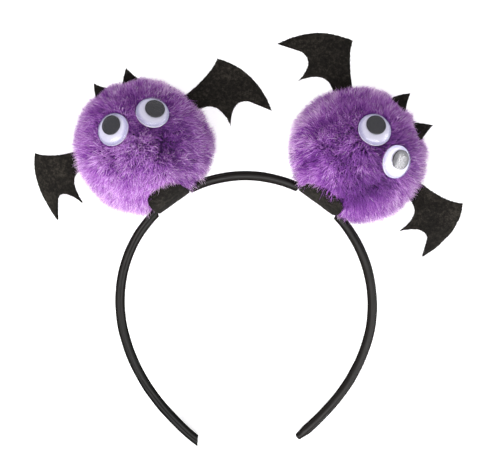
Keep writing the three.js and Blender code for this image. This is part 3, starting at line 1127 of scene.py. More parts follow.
@dataclass
class Wing:
    """One felt wing: its side of the bat, seat, lie and curl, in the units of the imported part."""

    name: str
    side: int
    seat: float
    rise: float
    cant: float
    droop: float
    pitch: float
    curl: float
    centre: float = 0.45
    fibres: int = 700

    def place(self) -> Array:
        """Where the wing's root lies on its bat.

        Returns:
            The place: seated on the pompom, then drooped, pitched and canted.
        """
        seat, rise = self.seat * POMPOM_RADIUS, math.radians(self.rise)
        spot = moved_to(self.side * seat * math.cos(rise), seat * math.sin(rise))
        lie = turn_about("y", self.side * self.droop) @ turn_about("x", self.pitch)
        return spot @ lie @ turn_about("z", self.side * self.cant)

    def covers(self, points: Array) -> Array:
        """Whether points lie over the wing's root.

        Args:
            points: points in the wing's frame.

        Returns:
            True for those over its tab and the part of its span that is in the fur.
        """
        out = self.side * points[:, 0]
        beside = np.abs(points[:, 1]) < WING_ROOT / 2 + CLEARANCE
        return (out > -WING_TAB - CLEARANCE) & (out < WING_REACH_IN_FUR) & beside

    def outline(self) -> Array:
        """Closed outline of the flat wing.

        Returns:
            Points from the tab over the leading edge, and back to the root by two scallops, all
            of them curves with one control point, in shares of the span.
        """
        half = WING_ROOT / 2
        tab = np.array([[-WING_TAB, -0.7 * half], [-WING_TAB, 0.7 * half]])
        corners = WING_SPAN * np.array([
            [0, half / WING_SPAN], [0.592, 0.423], [1.0, -0.567], [0.377, -0.531],
            [0, -half / WING_SPAN],
        ])
        bows = WING_SPAN * np.array([[0.413, 0.256], [1.038, 0.06], [0.6, -0.003], [0.367, -0.061]])
        edges = [
            quadratic(corners[i], bows[i], corners[i + 1], steps)
            for i, steps in enumerate((30, 46, 34, 26))
        ]
        root_low = quadratic(corners[4], (corners[4] + tab[0]) / 2, tab[0], 8)
        root_high = quadratic(tab[1], (corners[0] + tab[1]) / 2, corners[0], 8)
        tab_end = quadratic(tab[0], (tab[0] + tab[1]) / 2, tab[1], 8)
        points = np.vstack([root_high, *edges, root_low, tab_end])
        return points * [self.side, 1]

    def curled(self, points: Array) -> Array:
        """Bends what lies outward of the root to the back.

        Args:
            points: points of the flat wing.

        Returns:
            Points on an arc whose length is the span and whose turn is the curl: x becomes the
            reach times the sine, and z the reach times the cosine, less the radius.
        """
        if self.curl == 0:
            return points
        arc = WING_SPAN / math.radians(self.curl)
        out = self.side * points[:, 0]
        reach = arc + points[:, 2]
        bent = np.stack([
            self.side * reach * np.sin(out / arc), points[:, 1], reach * np.cos(out / arc) - arc,
        ], -1)
        return np.where((out > 0)[:, None], bent, points)

    def build(self, bat: "Bat", seed: int, finish: bpy.types.Material) -> None:
        """Makes the wing as a piece of its bat.

        Args:
            bat: the bat that it is on.
            seed: names the felt's unevenness.
            finish: the felt.
        """
        name = f"{bat.side}_bat_{self.name}_wing"
        outline = self.outline()
        cutting = FeltCutting(outline, np.array([self.side * self.centre * WING_SPAN, 0.0]), seed)
        shell = cutting.shell().joined(cutting.fuzz(self.fibres))
        shell.points = self.curled(shell.points)
        shell = shell.carried(bat.place() @ self.place())
        add_felt(f"felt_{name}", shell, outline, finish, name)


@dataclass
class Ear:
    """One felt ear: degrees to the side of the face's top, its lean, and the fur's height."""

    name: str
    turn: float
    lean: float
    foot: float
    bared_depth: float = 16.0
    waviness: float = 0.05
    fibres: int = 160

    def place(self) -> Array:
        """Where the ear's foot lies on its bat.

        Returns:
            The place: turned to its side of the face's top, and leant.
        """
        turn = math.radians(self.turn)
        spot = moved_to(-EAR_SEAT * math.sin(turn), EAR_SEAT * math.cos(turn))
        return spot @ turn_about("z", self.turn + self.lean)

    def bare(self, hairs: Hairs) -> None:
        """Shortens the hairs in front of the ear, so that they end at its foot.

        Args:
            hairs: the hairs, in the bat's frame.
        """
        back = np.linalg.inv(self.place())
        low, high = placed(hairs.roots, back), placed(hairs.tips, back)
        in_front = (high[:, 2] > 0) & (high[:, 2] < self.bared_depth)
        foot = self.foot + 0.9 * np.maximum(np.abs(high[:, 0]) - 1.1 * EAR_WIDTH / 2, 0)
        share = np.clip((foot - low[:, 1]) / np.maximum(high[:, 1] - low[:, 1], 0.1), 0.05, 1)
        hairs.shorten(np.where(in_front & (high[:, 1] > foot), share, 1.0))

    def covers(self, points: Array) -> Array:
        """Whether points in the ear's frame lie over it."""
        beside = np.abs(points[:, 0]) < EAR_WIDTH / 2 + GAP
        return (points[:, 1] > -EAR_TAB - CLEARANCE) & beside

    def outline(self) -> Array:
        """Closed outline of the flat ear.

        Returns:
            Points round a tab in the fur and a point with one hollow and one full side.
        """
        half = EAR_WIDTH / 2
        corners = np.array([
            [-0.8 * half, -EAR_TAB], [0.8 * half, -EAR_TAB], [half, 0], [0, EAR_HEIGHT], [-half, 0],
        ])
        bows = [
            (corners[0] + corners[1]) / 2, (corners[1] + corners[2]) / 2,
            np.array([0.45 * half, 0.45 * EAR_HEIGHT]), np.array([-0.6 * half, 0.55 * EAR_HEIGHT]),
            (corners[4] + corners[0]) / 2,
        ]
        return np.vstack([
            quadratic(corners[i], bows[i], corners[(i + 1) % 5], steps)
            for i, steps in enumerate((8, 8, 18, 18, 8))
        ])

    def build(self, bat: "Bat", seed: int, finish: bpy.types.Material) -> None:
        """Makes the ear as a piece of its bat.

        Args:
            bat: the bat that it is on.
            seed: names the felt's unevenness.
            finish: the felt.
        """
        name = f"{bat.side}_bat_{self.name}_ear"
        outline = self.outline()
        cutting = FeltCutting(outline, np.zeros(2), seed, waviness=self.waviness)
        shell = cutting.shell().joined(cutting.fuzz(self.fibres))
        shell = shell.carried(bat.place() @ self.place())
        add_felt(f"felt_{name}", shell, outline, finish, name, EAR_BLANK)


# Eyes


def turned(profile: Array, columns: int) -> Shell:
    """Closed surface turned about z.

    Args:
        profile: n by 2 radii and heights, from the axis below or inside to the axis above or
            outside. Faces point outwards where the profile has the solid on its left.
        columns: points round the axis.

    Returns:
        The shell, with radius times cosine and sine of the angle as x and y.
    """
    angle = np.linspace(0, 2 * math.pi, columns, endpoint=False)
    inside = profile[1:-1]
    rings = np.stack(np.broadcast_arrays(
        inside[:, :1] * np.cos(angle), inside[:, :1] * np.sin(angle), inside[:, 1:]
    ), -1)
    shell = tube(rings[:, ::-1])
    shell.points[-2] = (0, 0, profile[0, 1])
    shell.points[-1] = (0, 0, profile[-1, 1])
    return shell


def rounded(corners: Sequence[tuple], steps: int = 5) -> Array:
    """Profile through corners, each rounded by its own radius.

    Args:
        corners: radius, height and rounding of each corner.
        steps: points of each rounding.

    Returns:
        Points: each rounding is a curve with the corner as its control point.
    """
    spots = np.array([corner[:2] for corner in corners], float)
    made = [spots[:1]]
    for index in range(1, len(corners) - 1):
        spot, size = spots[index], corners[index][2]
        before = spot + unit(spots[index - 1] - spot) * size
        after = spot + unit(spots[index + 1] - spot) * size
        made += [quadratic(before, spot, after, steps), after[None]]
    return np.vstack([*made, spots[-1:]])


@dataclass
class Eye:
    """One loose-pupil eye: where it looks, and the way its pupil has slid.

    The flange and the shoulder of the dome go by their inset from the eye's radius and their
    height above the dome's foot or its shoulder.
    """

    name: str
    across: float
    up: float
    slide: float
    columns: int = 96
    pupil_columns: int = 80
    flange: tuple = (
        (0.75, 0.5), (0.72, 0.0), (0.08, 0.0), (0.0, 0.1), (0.0, 0.42), (0.07, 0.52), (0.2, 0.62),
    )
    shoulder: tuple = ((0.27, -0.25), (0.32, -0.05))

    def direction(self) -> Array:
        """Unit direction from the bat's middle."""
        return np.array([self.across, self.up, math.sqrt(1 - self.across ** 2 - self.up ** 2)])

    def place(self) -> Array:
        """Where the eye's back lies on its bat, with z outwards."""
        normal = self.direction()
        return moved_to(*(normal * EYE_SEAT)) @ facing(normal)

    def clearing(self, hairs: Hairs) -> Array:
        """How much of each hair can stay so that none stands in the eye or before it.

        Args:
            hairs: the hairs, in the bat's frame.

        Returns:
            The share of a hair that is behind the eye's back, or 1 where it passes beside it.
        """
        back = np.linalg.inv(self.place())
        low, mid, high = (placed(p, back) for p in (hairs.roots, hairs.middles, hairs.tips))
        inside = np.zeros(len(low), bool)
        for spot in (mid, (mid + high) / 2, high):
            beside = np.hypot(spot[:, 0], spot[:, 1]) < EYE_RADIUS + EYE_CLEAR
            inside |= beside & (spot[:, 2] > -CLEARANCE)
        rise = np.maximum(high[:, 2] - low[:, 2], 0.1)
        return np.where(inside, np.clip((-EYE_DEPTH - low[:, 2]) / rise, 0, 1), 1.0)

    def cup(self) -> Shell:
        """The white back: a disc with a rounded rim and a low bead round its edge."""
        return turned(rounded([
            (0, 0, 0), (EYE_RADIUS - 0.1, 0, 0.2), (EYE_RADIUS, 0.45, 0.2),
            (EYE_RADIUS, CUP_FLOOR, 0.22), (0, CUP_FLOOR, 0),
        ]), self.columns)

    def dome(self) -> Shell:
        """The clear front: a flange, a rounded shoulder and a shallow cap, 0.6 mm thick.

        Returns:
            The shell. The inside of the cap falls with the square of the share of its radius, and
            the outside with its power of 2.6. The chart's u is the share of the eye's radius.
        """
        foot = CUP_FLOOR + GAP
        shoulder, top = foot + DOME_SKIRT, foot + DOME_SKIRT + DOME_RISE
        share = np.linspace(0, 1, 14)[1:, None]
        inside = top - DOME_WALL - (DOME_RISE - 0.35) * share ** 2
        outside = top - (DOME_RISE - 0.1) * share ** 2.6
        profile = np.vstack([
            [[0.0, top - DOME_WALL]],
            np.hstack([(EYE_RADIUS - 0.95) * share, inside]),
            [(EYE_RADIUS - inset, foot + height) for inset, height in self.flange],
            [(EYE_RADIUS - inset, shoulder + height) for inset, height in self.shoulder],
            np.hstack([(EYE_RADIUS - 0.42) * share, outside])[::-1],
            [[0.0, top]],
        ])
        shell = turned(profile, self.columns)
        share = np.linalg.norm(shell.points[:, :2], axis=1) / EYE_RADIUS
        shell.chart = np.stack([share, np.zeros_like(share)], -1)
        return shell

    def pupil(self) -> Shell:
        """The loose black disc.

        Returns:
            The shell, slid to where it lies against the dome's wall.
        """
        low = CUP_FLOOR + GAP
        slip = EYE_RADIUS - PUPIL_RADIUS - DOME_WALL - GAP
        slide = math.radians(self.slide)
        disc = turned(rounded([
            (0, low, 0), (PUPIL_RADIUS, low, 0.16), (PUPIL_RADIUS, low + PUPIL_THICKNESS, 0.22),
            (0, low + PUPIL_THICKNESS, 0),
        ]), self.pupil_columns)
        return disc.carried(moved_to(slip * math.cos(slide), slip * math.sin(slide)))

    def build(self, bat: "Bat", look: "Looks") -> None:
        """Makes the eye's three pieces.

        Args:
            bat: the bat that it is on.
            look: the materials.
        """
        name = f"{bat.side}_bat_{self.name}_eye"
        place = bat.place() @ self.place()
        parts = (
            ("cup", self.cup(), look.white, Slot.WHITE, HEADBAND),
            ("dome", self.dome(), look.clear, Slot.CLEAR, HEADBAND),
            ("pupil", self.pupil(), look.pupil, Slot.PUPIL, f"{bat.side}_{self.name}_pupil"),
        )
        for part, shell, finish, slot, body in parts:
            mesh = shell.carried(place).mesh(f"{name}_{part}_moulded")
            add_piece(f"{name}_{part}_moulded", mesh, finish, body, [f"{name}_{part}"])


# Bats


@dataclass(frozen=True)
class Coat:
    """One layer of hairs on a pompom, and how they lie.

    Roots and tops are distances from the pompom's middle. Spread is how far the ends vary, width
    the range of radii at the root, and clump how far hairs gather to their tuft's axis.
    """

    name: str
    seed: int
    hairs: int
    bent: bool
    root: float
    top: float
    spread: float
    width: tuple
    lean: float
    clump: float
    lightness: float


COATS = (
    # The under coat's low lightness darkens the gaps between the tufts: painted shade.
    Coat("under", 50, 44000, False, 24.6, 30.9, 1.6, (0.20, 0.30), 0.6, 0.3, 0.24),
    Coat("over", 40, 47000, False, 25.6, 32.4, 1.3, (0.17, 0.29), 1.0, 0.42, 0.42),
    Coat("stray", 51, 2400, True, 26.0, 33.4, 0.9, (0.12, 0.18), 1.2, 0.1, 0.55),
)


@dataclass(frozen=True)
class Pile:
    """What all coats share: how the hairs lean, how high they stand and how their shade varies.

    Sizes of fields are shares of the radius, but for the locks', which is in millimetres. At the
    rim, seen from the front, the locks stand out more.
    """

    spacing: float = 0.6
    comb: float = 0.3
    swirl: float = 0.2
    swirl_size: float = 0.9
    jitter: float = 0.25
    broad_size: float = 0.6
    broad_height: float = 0.6
    lock_size: float = 2.5
    lock_waves: int = 40
    lock_height: float = 0.45
    lock_shade: float = 0.12
    rim_gain: float = 1.3
    rim_lock_height: float = 0.45
    rim_lock_shade: float = 0.46
    rim_tone: float = 1.1
    # Tufts that stand lower are painted darker: painted shade in the pile's hollows.
    painted_shade_by_height: float = 0.06
    own_shade: float = 0.13
    gather: tuple = (0.2, 1.0)
    bow: float = 0.28
    bow_at: float = 0.6
    shades: tuple = (0.02, 0.98)


PILE = Pile()


@dataclass
class Tufts:
    """How the pile parts: the tufts' directions, and each one's drift, height and tone."""

    aims: Array
    drift: Array
    tall: Array
    tone: Array

    @staticmethod
    def grown(
        seed: int, fine: int = 4400, coarse: int = 400, drift: tuple = (0.14, 0.11),
        tall: tuple = (0.38, 0.35), tone: tuple = (0.12, 0.06),
    ) -> "Tufts":
        """Small tufts, each of which shares part of its nature with the big one round it.

        Args:
            seed: names the pompom.
            fine: how many small tufts.
            coarse: how many big ones.
            drift: how much the lean of a small one, and of a big one, varies.
            tall: how much their heights vary, in millimetres.
            tone: how much their shades vary.

        Returns:
            The small tufts.
        """
        rng = np.random.default_rng(seed)
        big = golden_ball(coarse, rng, 1.4)
        aims = golden_ball(fine, rng, 1.5)
        round_it = np.argmax(aims @ big.T, axis=1)

        def shared(spread: tuple, width: int) -> Array:
            """Random values of a tuft and of the big one round it, summed."""
            small = rng.normal(0, spread[0], (fine, width))
            return small + rng.normal(0, spread[1], (coarse, width))[round_it]

        return Tufts(aims, shared(drift, 3), shared(tall, 1)[:, 0], shared(tone, 1)[:, 0])

    def nearest(self, directions: Array) -> Array:
        """Number of the tuft that each direction belongs to."""
        parts = np.array_split(directions, 24)
        return np.concatenate([np.argmax(part @ self.aims.T, axis=1) for part in parts])


@dataclass
class Bat:
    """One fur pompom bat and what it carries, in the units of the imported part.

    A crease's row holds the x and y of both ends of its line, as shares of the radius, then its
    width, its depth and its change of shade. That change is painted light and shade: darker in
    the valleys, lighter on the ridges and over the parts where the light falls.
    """

    side: str
    hoop_turn: float
    roll: float
    patch_turn: float
    patch_length: float
    patch_rise: float
    wings: tuple
    ears: tuple
    eyes: tuple
    creases: tuple
    comb: tuple
    overhang: float
    seed: int
    press_fade: float = 0.5
    press_play: float = 0.06
    press_limit: float = 4.0
    shortest_share: float = 0.15
    ground_play: tuple = (0.15, 0.5)
    patch_draw_in: float = 0.35
    under_patch_share: float = 0.35
    patch_points: int = 96
    patch_fibres: int = 420
    patch_waviness: float = 0.08

    def core(self) -> str:
        """Name of the stuffed core, which holds the felt."""
        return f"{self.side}_fur_core"

    def place(self) -> Array:
        """Where the bat lies in the hoop frame.

        Returns:
            The place of its middle, outwards of the hoop, and its roll.
        """
        turn = math.radians(self.hoop_turn)
        spot = moved_to(POMPOM_REACH * math.sin(turn), POMPOM_REACH * math.cos(turn))
        return spot @ turn_about("z", self.roll)

    def patch_place(self) -> Array:
        """Frame of the felt patch, with y outwards from the hoop's centre."""
        return turn_about("z", -self.patch_turn)

    def cradle(self) -> float:
        """Height of the bat's middle in the patch's frame."""
        return POMPOM_REACH * math.cos(math.radians(self.hoop_turn - self.patch_turn))

    def pressed_band(self, rings: Array) -> Array:
        """Presses the band flat under the felt patch.

        Args:
            rings: points of the band.

        Returns:
            The points, with those under the patch, and up to half a millimetre past its rounded
            ends with a smooth change, no lower than the felt's roof.
        """
        roof = self.cradle() - math.sqrt(PATCH_INNER ** 2 - (BAND_DEPTH / 2) ** 2)
        roof += GAP + self.press_play
        local = placed(rings.reshape(-1, 3), np.linalg.inv(self.patch_place()))
        along = local[:, 0] * math.copysign(1, self.hoop_turn)
        crown_end, far_end = (share * self.patch_length / 2 for share in PRESSED)
        past = np.maximum(crown_end - along, along - far_end) - GAP
        hold = (1 - ease(past / self.press_fade)) * (local[:, 1] > 0)
        lift = np.maximum(roof - local[:, 1], 0) * hold
        local[:, 1] += np.where(lift < self.press_limit, lift, 0)
        return placed(local, self.patch_place()).reshape(rings.shape)

    def patch_outline(self, grow: float) -> tuple[Array, Array]:
        """Outline of the felt patch from the front, from its crown end to its far end.

        Args:
            grow: distance added on every side.

        Returns:
            Points across and up, of the whole outline and of its upper edges alone: curves with
            two control points each.
        """
        half = math.copysign(self.patch_length / 2 + grow, self.hoop_turn)
        edge = self.cradle() - POMPOM_RADIUS + PATCH_DRAW - grow
        rise = self.patch_rise + 2 * grow
        scale, shift = np.array([half, rise]), np.array([0.0, edge])
        t = np.linspace(0, 1, 40)[:, None]
        weights = ((1 - t) ** 3, 3 * t * (1 - t) ** 2, 3 * t * t * (1 - t), t ** 3)
        start, edges = PATCH_START, []
        for row in PATCH_EDGES:
            points = sum(w * np.array(p, float) for w, p in zip(weights, (start, *row)))
            edges.append(points * scale + shift)
            start = row[-1]
        whole = np.vstack([edges[0], *(e[1:] for e in edges[1:])])
        return whole, np.vstack([edges[1], edges[2][1:]])

    def patch_top(self, x: Array, grow: float) -> Array:
        """Height of the felt patch's upper edges.

        Args:
            x: places along the patch.
            grow: distance added on every side.

        Returns:
            The height over each place.
        """
        upper = self.patch_outline(grow)[1]
        if upper[0, 0] > upper[-1, 0]:
            upper = upper[::-1]
        return np.interp(x, upper[:, 0], upper[:, 1])

    def build_patch(self, finish: bpy.types.Material) -> None:
        """Makes the felt patch: a wall round the pompom's inner side.

        A point of its outline lies at x along the patch and at an angle from the inside whose
        cosine is the height left under the bat's middle over the outer radius. The wall is rounded
        off towards its edge.

        Args:
            finish: the felt.
        """
        radius = PATCH_INNER + FELT / 2
        whole = self.patch_outline(0.0)[0]
        cosine = (self.cradle() - whole[:, 1]) / (PATCH_INNER + FELT)
        reach = np.arccos(np.clip(cosine, -1, 1)) * radius
        boundary = self.patch_boundary(whole[:, 0], reach)
        cutting = FeltCutting(boundary, np.zeros(2), self.seed + 40, waviness=self.patch_waviness)
        shell = cutting.shell().joined(cutting.fuzz(self.patch_fibres))
        flat = shell.points
        level = radius + flat[:, 2]
        angle = flat[:, 1] / radius
        shell.points = np.stack([
            flat[:, 0], self.cradle() - level * np.cos(angle), level * np.sin(angle)
        ], -1)
        name = f"{self.side}_felt_patch"
        shell = shell.carried(self.patch_place())
        add_felt(f"{name}_cut", shell, boundary, finish, name)

    def patch_boundary(self, x: Array, reach: Array) -> Array:
        """Outline of the patch when it is rolled out flat.

        Args:
            x: places along the patch.
            reach: length from the inside to the edge, round the wall, at each place.

        Returns:
            Evenly spaced points: the front edge there, and the back edge back.
        """
        front = np.stack([x, reach], -1)
        back = front[::-1] * [1, -1]
        loop = np.vstack([front, back, front[:1]])
        reached = np.concatenate([[0], np.cumsum(np.linalg.norm(np.diff(loop, axis=0), axis=1))])
        even = np.linspace(0, reached[-1], 2 * self.patch_points, endpoint=False)
        keep = np.concatenate([[True], np.diff(reached) > 1e-9])
        return np.stack([np.interp(even, reached[keep], loop[keep, i]) for i in (0, 1)], -1)

    def creased(self, directions: Array) -> Array:
        """Valleys and ridges in the fur, and its lighter and darker parts, by unit directions.

        Args:
            directions: n by 3 unit directions in the bat's frame.

        Returns:
            Depth as a share of the radius, and change of shade, which is painted light and shade:
            each row's values times e to minus the squared distance from its line over its width,
            summed, and faded out round the back.
        """
        total = np.zeros((len(directions), 2))
        for from_x, from_y, to_x, to_y, spread, *values in self.creases:
            start = np.array([from_x, from_y])
            run = np.array([to_x, to_y]) - start
            share = np.clip((directions[:, :2] - start) @ run / (run @ run), 0, 1)
            away = np.linalg.norm(directions[:, :2] - start - share[:, None] * run, axis=1) / spread
            total += np.exp(-away * away)[:, None] * values
        return total * ease(directions[:, 2:] / 0.3 + 1)

    def hairs(self, coat: Coat, tufts: Tufts) -> Shell:
        """One layer of hairs.

        Args:
            coat: how they lie.
            tufts: how the pile parts.

        Returns:
            Hairs rooted on a ball, evenly spread by the golden angle. Each leans with the comb,
            a smooth swirl and its tuft, is gathered towards the tuft's axis, and ends at the
            height of the fur less a random share. Hairs keep clear of what the bat carries.
        """
        rng = np.random.default_rng(self.seed + coat.seed)
        outward = golden_ball(coat.hairs, rng, PILE.spacing)
        near = tufts.nearest(outward)
        lean = self.leant(outward, rng, coat.lean, tufts.drift[near])
        # The creases' last column paints light and shade into the hairs: darker in valleys, lighter
        # on ridges and where light falls.
        crease, painted_light_and_shade = self.creased(outward).T
        broad = ripple(outward, PILE.broad_size, self.seed + 2)
        locks = ripple(outward * POMPOM_RADIUS, PILE.lock_size, self.seed + 5, PILE.lock_waves)
        rim = 1 - ease(outward[:, 2] * PILE.rim_gain)
        top = coat.top - POMPOM_RADIUS * crease + PILE.broad_height * broad + tufts.tall[near]
        top += (PILE.lock_height + PILE.rim_lock_height * rim) * locks
        top -= coat.spread * rng.random(coat.hairs) ** 1.5
        pile = (top - coat.root)[:, None]
        own = unit(outward + lean * pile / POMPOM_RADIUS)
        aim = unit(tufts.aims[near] + lean * pile / POMPOM_RADIUS)
        share = coat.clump * rng.uniform(*PILE.gather, (coat.hairs, 1))
        roots, tips = outward * coat.root, unit(own + (aim - own) * share) * top[:, None]
        middles = (roots + tips) / 2
        if coat.bent:
            bow = unit(outward + PILE.bow * lean * pile / POMPOM_RADIUS)
            middles = bow * (coat.root + PILE.bow_at * pile)
        hairs = Hairs(roots, middles, tips)
        kept = self.kept_clear(hairs, rng)
        shade = coat.lightness + painted_light_and_shade + (1 + PILE.rim_tone * rim) * tufts.tone[near]
        # painted shade: the lower the tuft, the darker its hairs
        shade += PILE.painted_shade_by_height * (broad + tufts.tall[near])
        shade += (PILE.lock_shade + PILE.rim_lock_shade * rim) * locks
        shade += rng.normal(0, PILE.own_shade, coat.hairs)
        width = rng.uniform(*coat.width, coat.hairs)
        left = Hairs(hairs.roots[kept], hairs.middles[kept], hairs.tips[kept])
        return left.shell(width[kept], np.clip(shade, *PILE.shades)[kept], coat.bent)

    def leant(
        self, outward: Array, rng: np.random.Generator, lean: float, drift: Array
    ) -> Array:
        """Which way each hair leans, and how far.

        Args:
            outward: unit directions of the hairs' roots.
            rng: for each hair's own lean.
            lean: how strongly the coat leans.
            drift: the lean of each hair's tuft.

        Returns:
            The comb, a smooth swirl, the tuft's lean and the hair's own, summed, less the part
            that points outwards.
        """
        swirl = np.stack([
            ripple(outward, PILE.swirl_size, self.seed + 20 + axis) for axis in range(3)
        ], -1)
        way = lean * (PILE.comb * np.array(self.comb) + PILE.swirl * swirl)
        way = way + lean * drift + rng.normal(0, PILE.jitter, outward.shape)
        return way - outward * np.sum(way * outward, axis=1, keepdims=True)

    def kept_clear(self, hairs: Hairs, rng: np.random.Generator) -> Array:
        """Shortens or turns aside the hairs that would run into what the bat carries.

        Args:
            hairs: the hairs, in the bat's frame.
            rng: for which hairs stay, and for the ground's unevenness.

        Returns:
            Which hairs stay.
        """
        kept = np.ones(len(hairs.roots), bool)
        for eye in self.eyes:
            share = eye.clearing(hairs)
            hairs.shorten(share)
            kept &= share > self.shortest_share
        for felt in (*self.wings, *self.ears):
            hairs.turn_aside(felt)
            if isinstance(felt, Ear):
                felt.bare(hairs)
        under, over = self.under_patch(hairs)
        kept &= ~under | (rng.random(len(kept)) < self.under_patch_share)
        kept &= ~over | (rng.random(len(kept)) < self.overhang)
        kept &= ~self.off_band(hairs)
        ground = REST @ self.place()
        lowest, uneven = self.ground_play
        for points in (hairs.middles, hairs.tips):
            level = placed(points, ground)
            level[:, 2] = np.maximum(level[:, 2], lowest + uneven * rng.random(len(points)))
            points[:] = placed(level, np.linalg.inv(ground))
        return kept

    def under_patch(self, hairs: Hairs) -> tuple[Array, Array]:
        """Keeps hairs rooted under the felt patch behind it, and lets those round it hang over.

        Args:
            hairs: the hairs, in the bat's frame. Those under the patch are drawn to its inside,
                and the others pushed to its outside.

        Returns:
            Which hairs are rooted under the patch, and which others hang over it.
        """
        there = np.linalg.inv(self.patch_place()) @ self.place()
        back = np.linalg.inv(there)
        half = self.patch_length / 2

        def covered(points: Array, grow: float) -> tuple[Array, Array, Array]:
            """Which points the patch hides.

            Args:
                points: points in the bat's frame.
                grow: distance added on every side of the patch.

            Returns:
                The points in the patch's frame, their distance from its axis, and which it hides.
            """
            local = placed(points, there)
            span = local[:, 1] - self.cradle()
            top = self.patch_top(np.clip(local[:, 0], -half, half), grow)
            angle_top = np.arccos(np.clip((self.cradle() - top) / (PATCH_INNER + FELT), -1, 1))
            angle = np.abs(np.arctan2(local[:, 2], -span))
            within = (np.abs(local[:, 0]) < half + grow) & (angle < angle_top)
            return local, np.hypot(span, local[:, 2]), within

        under = covered(hairs.roots, -GAP)[2]
        over = np.zeros(len(under), bool)
        for points in (hairs.tips, hairs.middles):
            local, reach, within = covered(points, GAP)
            within &= reach > PATCH_INNER - self.patch_draw_in
            outside = np.maximum(reach, PATCH_INNER + FELT + PATCH_CLEAR)
            wanted = np.where(under, PATCH_INNER - CLEARANCE, outside)
            draw = np.where(within, wanted / np.maximum(reach, 1), 1.0)
            local[:, 1] = self.cradle() + (local[:, 1] - self.cradle()) * draw
            local[:, 2] *= draw
            points[:] = placed(local, back)
            over |= within & ~under
        return under, over

    def off_band(self, hairs: Hairs) -> Array:
        """Stops hairs at the outside of the band; those in front of it or behind it run past.

        Args:
            hairs: the hairs, in the bat's frame.

        Returns:
            Which hairs are rooted in the band.
        """
        place = self.place()
        back = np.linalg.inv(place)
        limit = HOOP_RADIUS + BAND_THICKNESS / 2 + GAP

        def near_band(points: Array) -> tuple[Array, Array, Array]:
            """Which points are too near the band.

            Args:
                points: points in the bat's frame.

            Returns:
                The points in the hoop frame, their distance from its middle, and which are
                inside the band or just before or behind it.
            """
            local = placed(points, place)
            reach = np.hypot(local[:, 0], local[:, 1])
            level = np.abs(local[:, 2]) < BAND_DEPTH / 2 + BAND_CLEAR
            return local, reach, (reach < limit) & level

        for points in (hairs.tips, hairs.middles):
            local, reach, inside = near_band(points)
            local[:, :2] *= np.where(inside, limit / np.maximum(reach, 1), 1.0)[:, None]
            points[:] = placed(local, back)
        return near_band(hairs.roots)[2]

    def build_fur(self, finish: bpy.types.Material) -> None:
        """Makes the stuffed core and the layers of hairs over it.

        The core is a ball of rows from pole to pole and columns round them, made a little uneven.

        Args:
            finish: the fur.
        """
        rows, columns = CORE_GRID
        polar = np.linspace(0, math.pi, rows + 2)[1:-1, None]
        angle = np.linspace(0, 2 * math.pi, columns, endpoint=False)[None]
        ball = np.stack(np.broadcast_arrays(
            np.sin(polar) * np.cos(angle), np.sin(polar) * np.sin(angle), -np.cos(polar)
        ), -1)
        bumps = CORE_UNEVENNESS * ripple(ball.reshape(-1, 3), 0.3, self.seed + 3)
        radius = CORE_RADIUS + bumps.reshape(ball.shape[:2])
        shell = tube((ball * radius[..., None])[:, ::-1])
        shell.chart = np.full((len(shell.points), 2), CORE_SHADE)
        place, node = self.place(), f"{self.side}_pompom"
        mesh = shell.carried(place).mesh(self.core(), FUR_MAP)
        core = add_piece(self.core(), mesh, finish, stands_for=[node])
        tufts = Tufts.grown(self.seed)
        for coat in COATS:
            name = f"{self.side}_fur_{coat.name}"
            mesh = self.hairs(coat, tufts).carried(place).mesh(name, FUR_MAP)
            piece = add_piece(name, mesh, finish, stands_for=[node])
            piece.parent = core

    def build(self, look: "Looks") -> None:
        """Makes the bat's fur, felt and eyes.

        Args:
            look: the materials.
        """
        self.build_fur(look.fur)
        self.build_patch(look.felt)
        for number, wing in enumerate(self.wings):
            wing.build(self, self.seed + 100 + 10 * number, look.felt)
        for number, ear in enumerate(self.ears):
            ear.build(self, self.seed + 150 + 10 * number, look.felt)
        for eye in self.eyes:
            eye.build(self, look)


def golden_ball(count: int, rng: np.random.Generator, jitter: float) -> Array:
    """Unit directions spread evenly over a ball.

    Args:
        count: how many.
        rng: for the jitter.
        jitter: its size, as a share of the usual distance between two directions.

    Returns:
        Directions whose heights step evenly and whose turns step by the golden angle.
    """
    number = np.arange(count) + 0.5
    height = 1 - 2 * number / count
    turn = number * math.pi * (3 - math.sqrt(5))
    level = np.sqrt(1 - height * height)
    made = np.stack([level * np.cos(turn), level * np.sin(turn), height], -1)
    return unit(made + rng.normal(0, jitter * math.sqrt(4 * math.pi / count) / 2, made.shape))


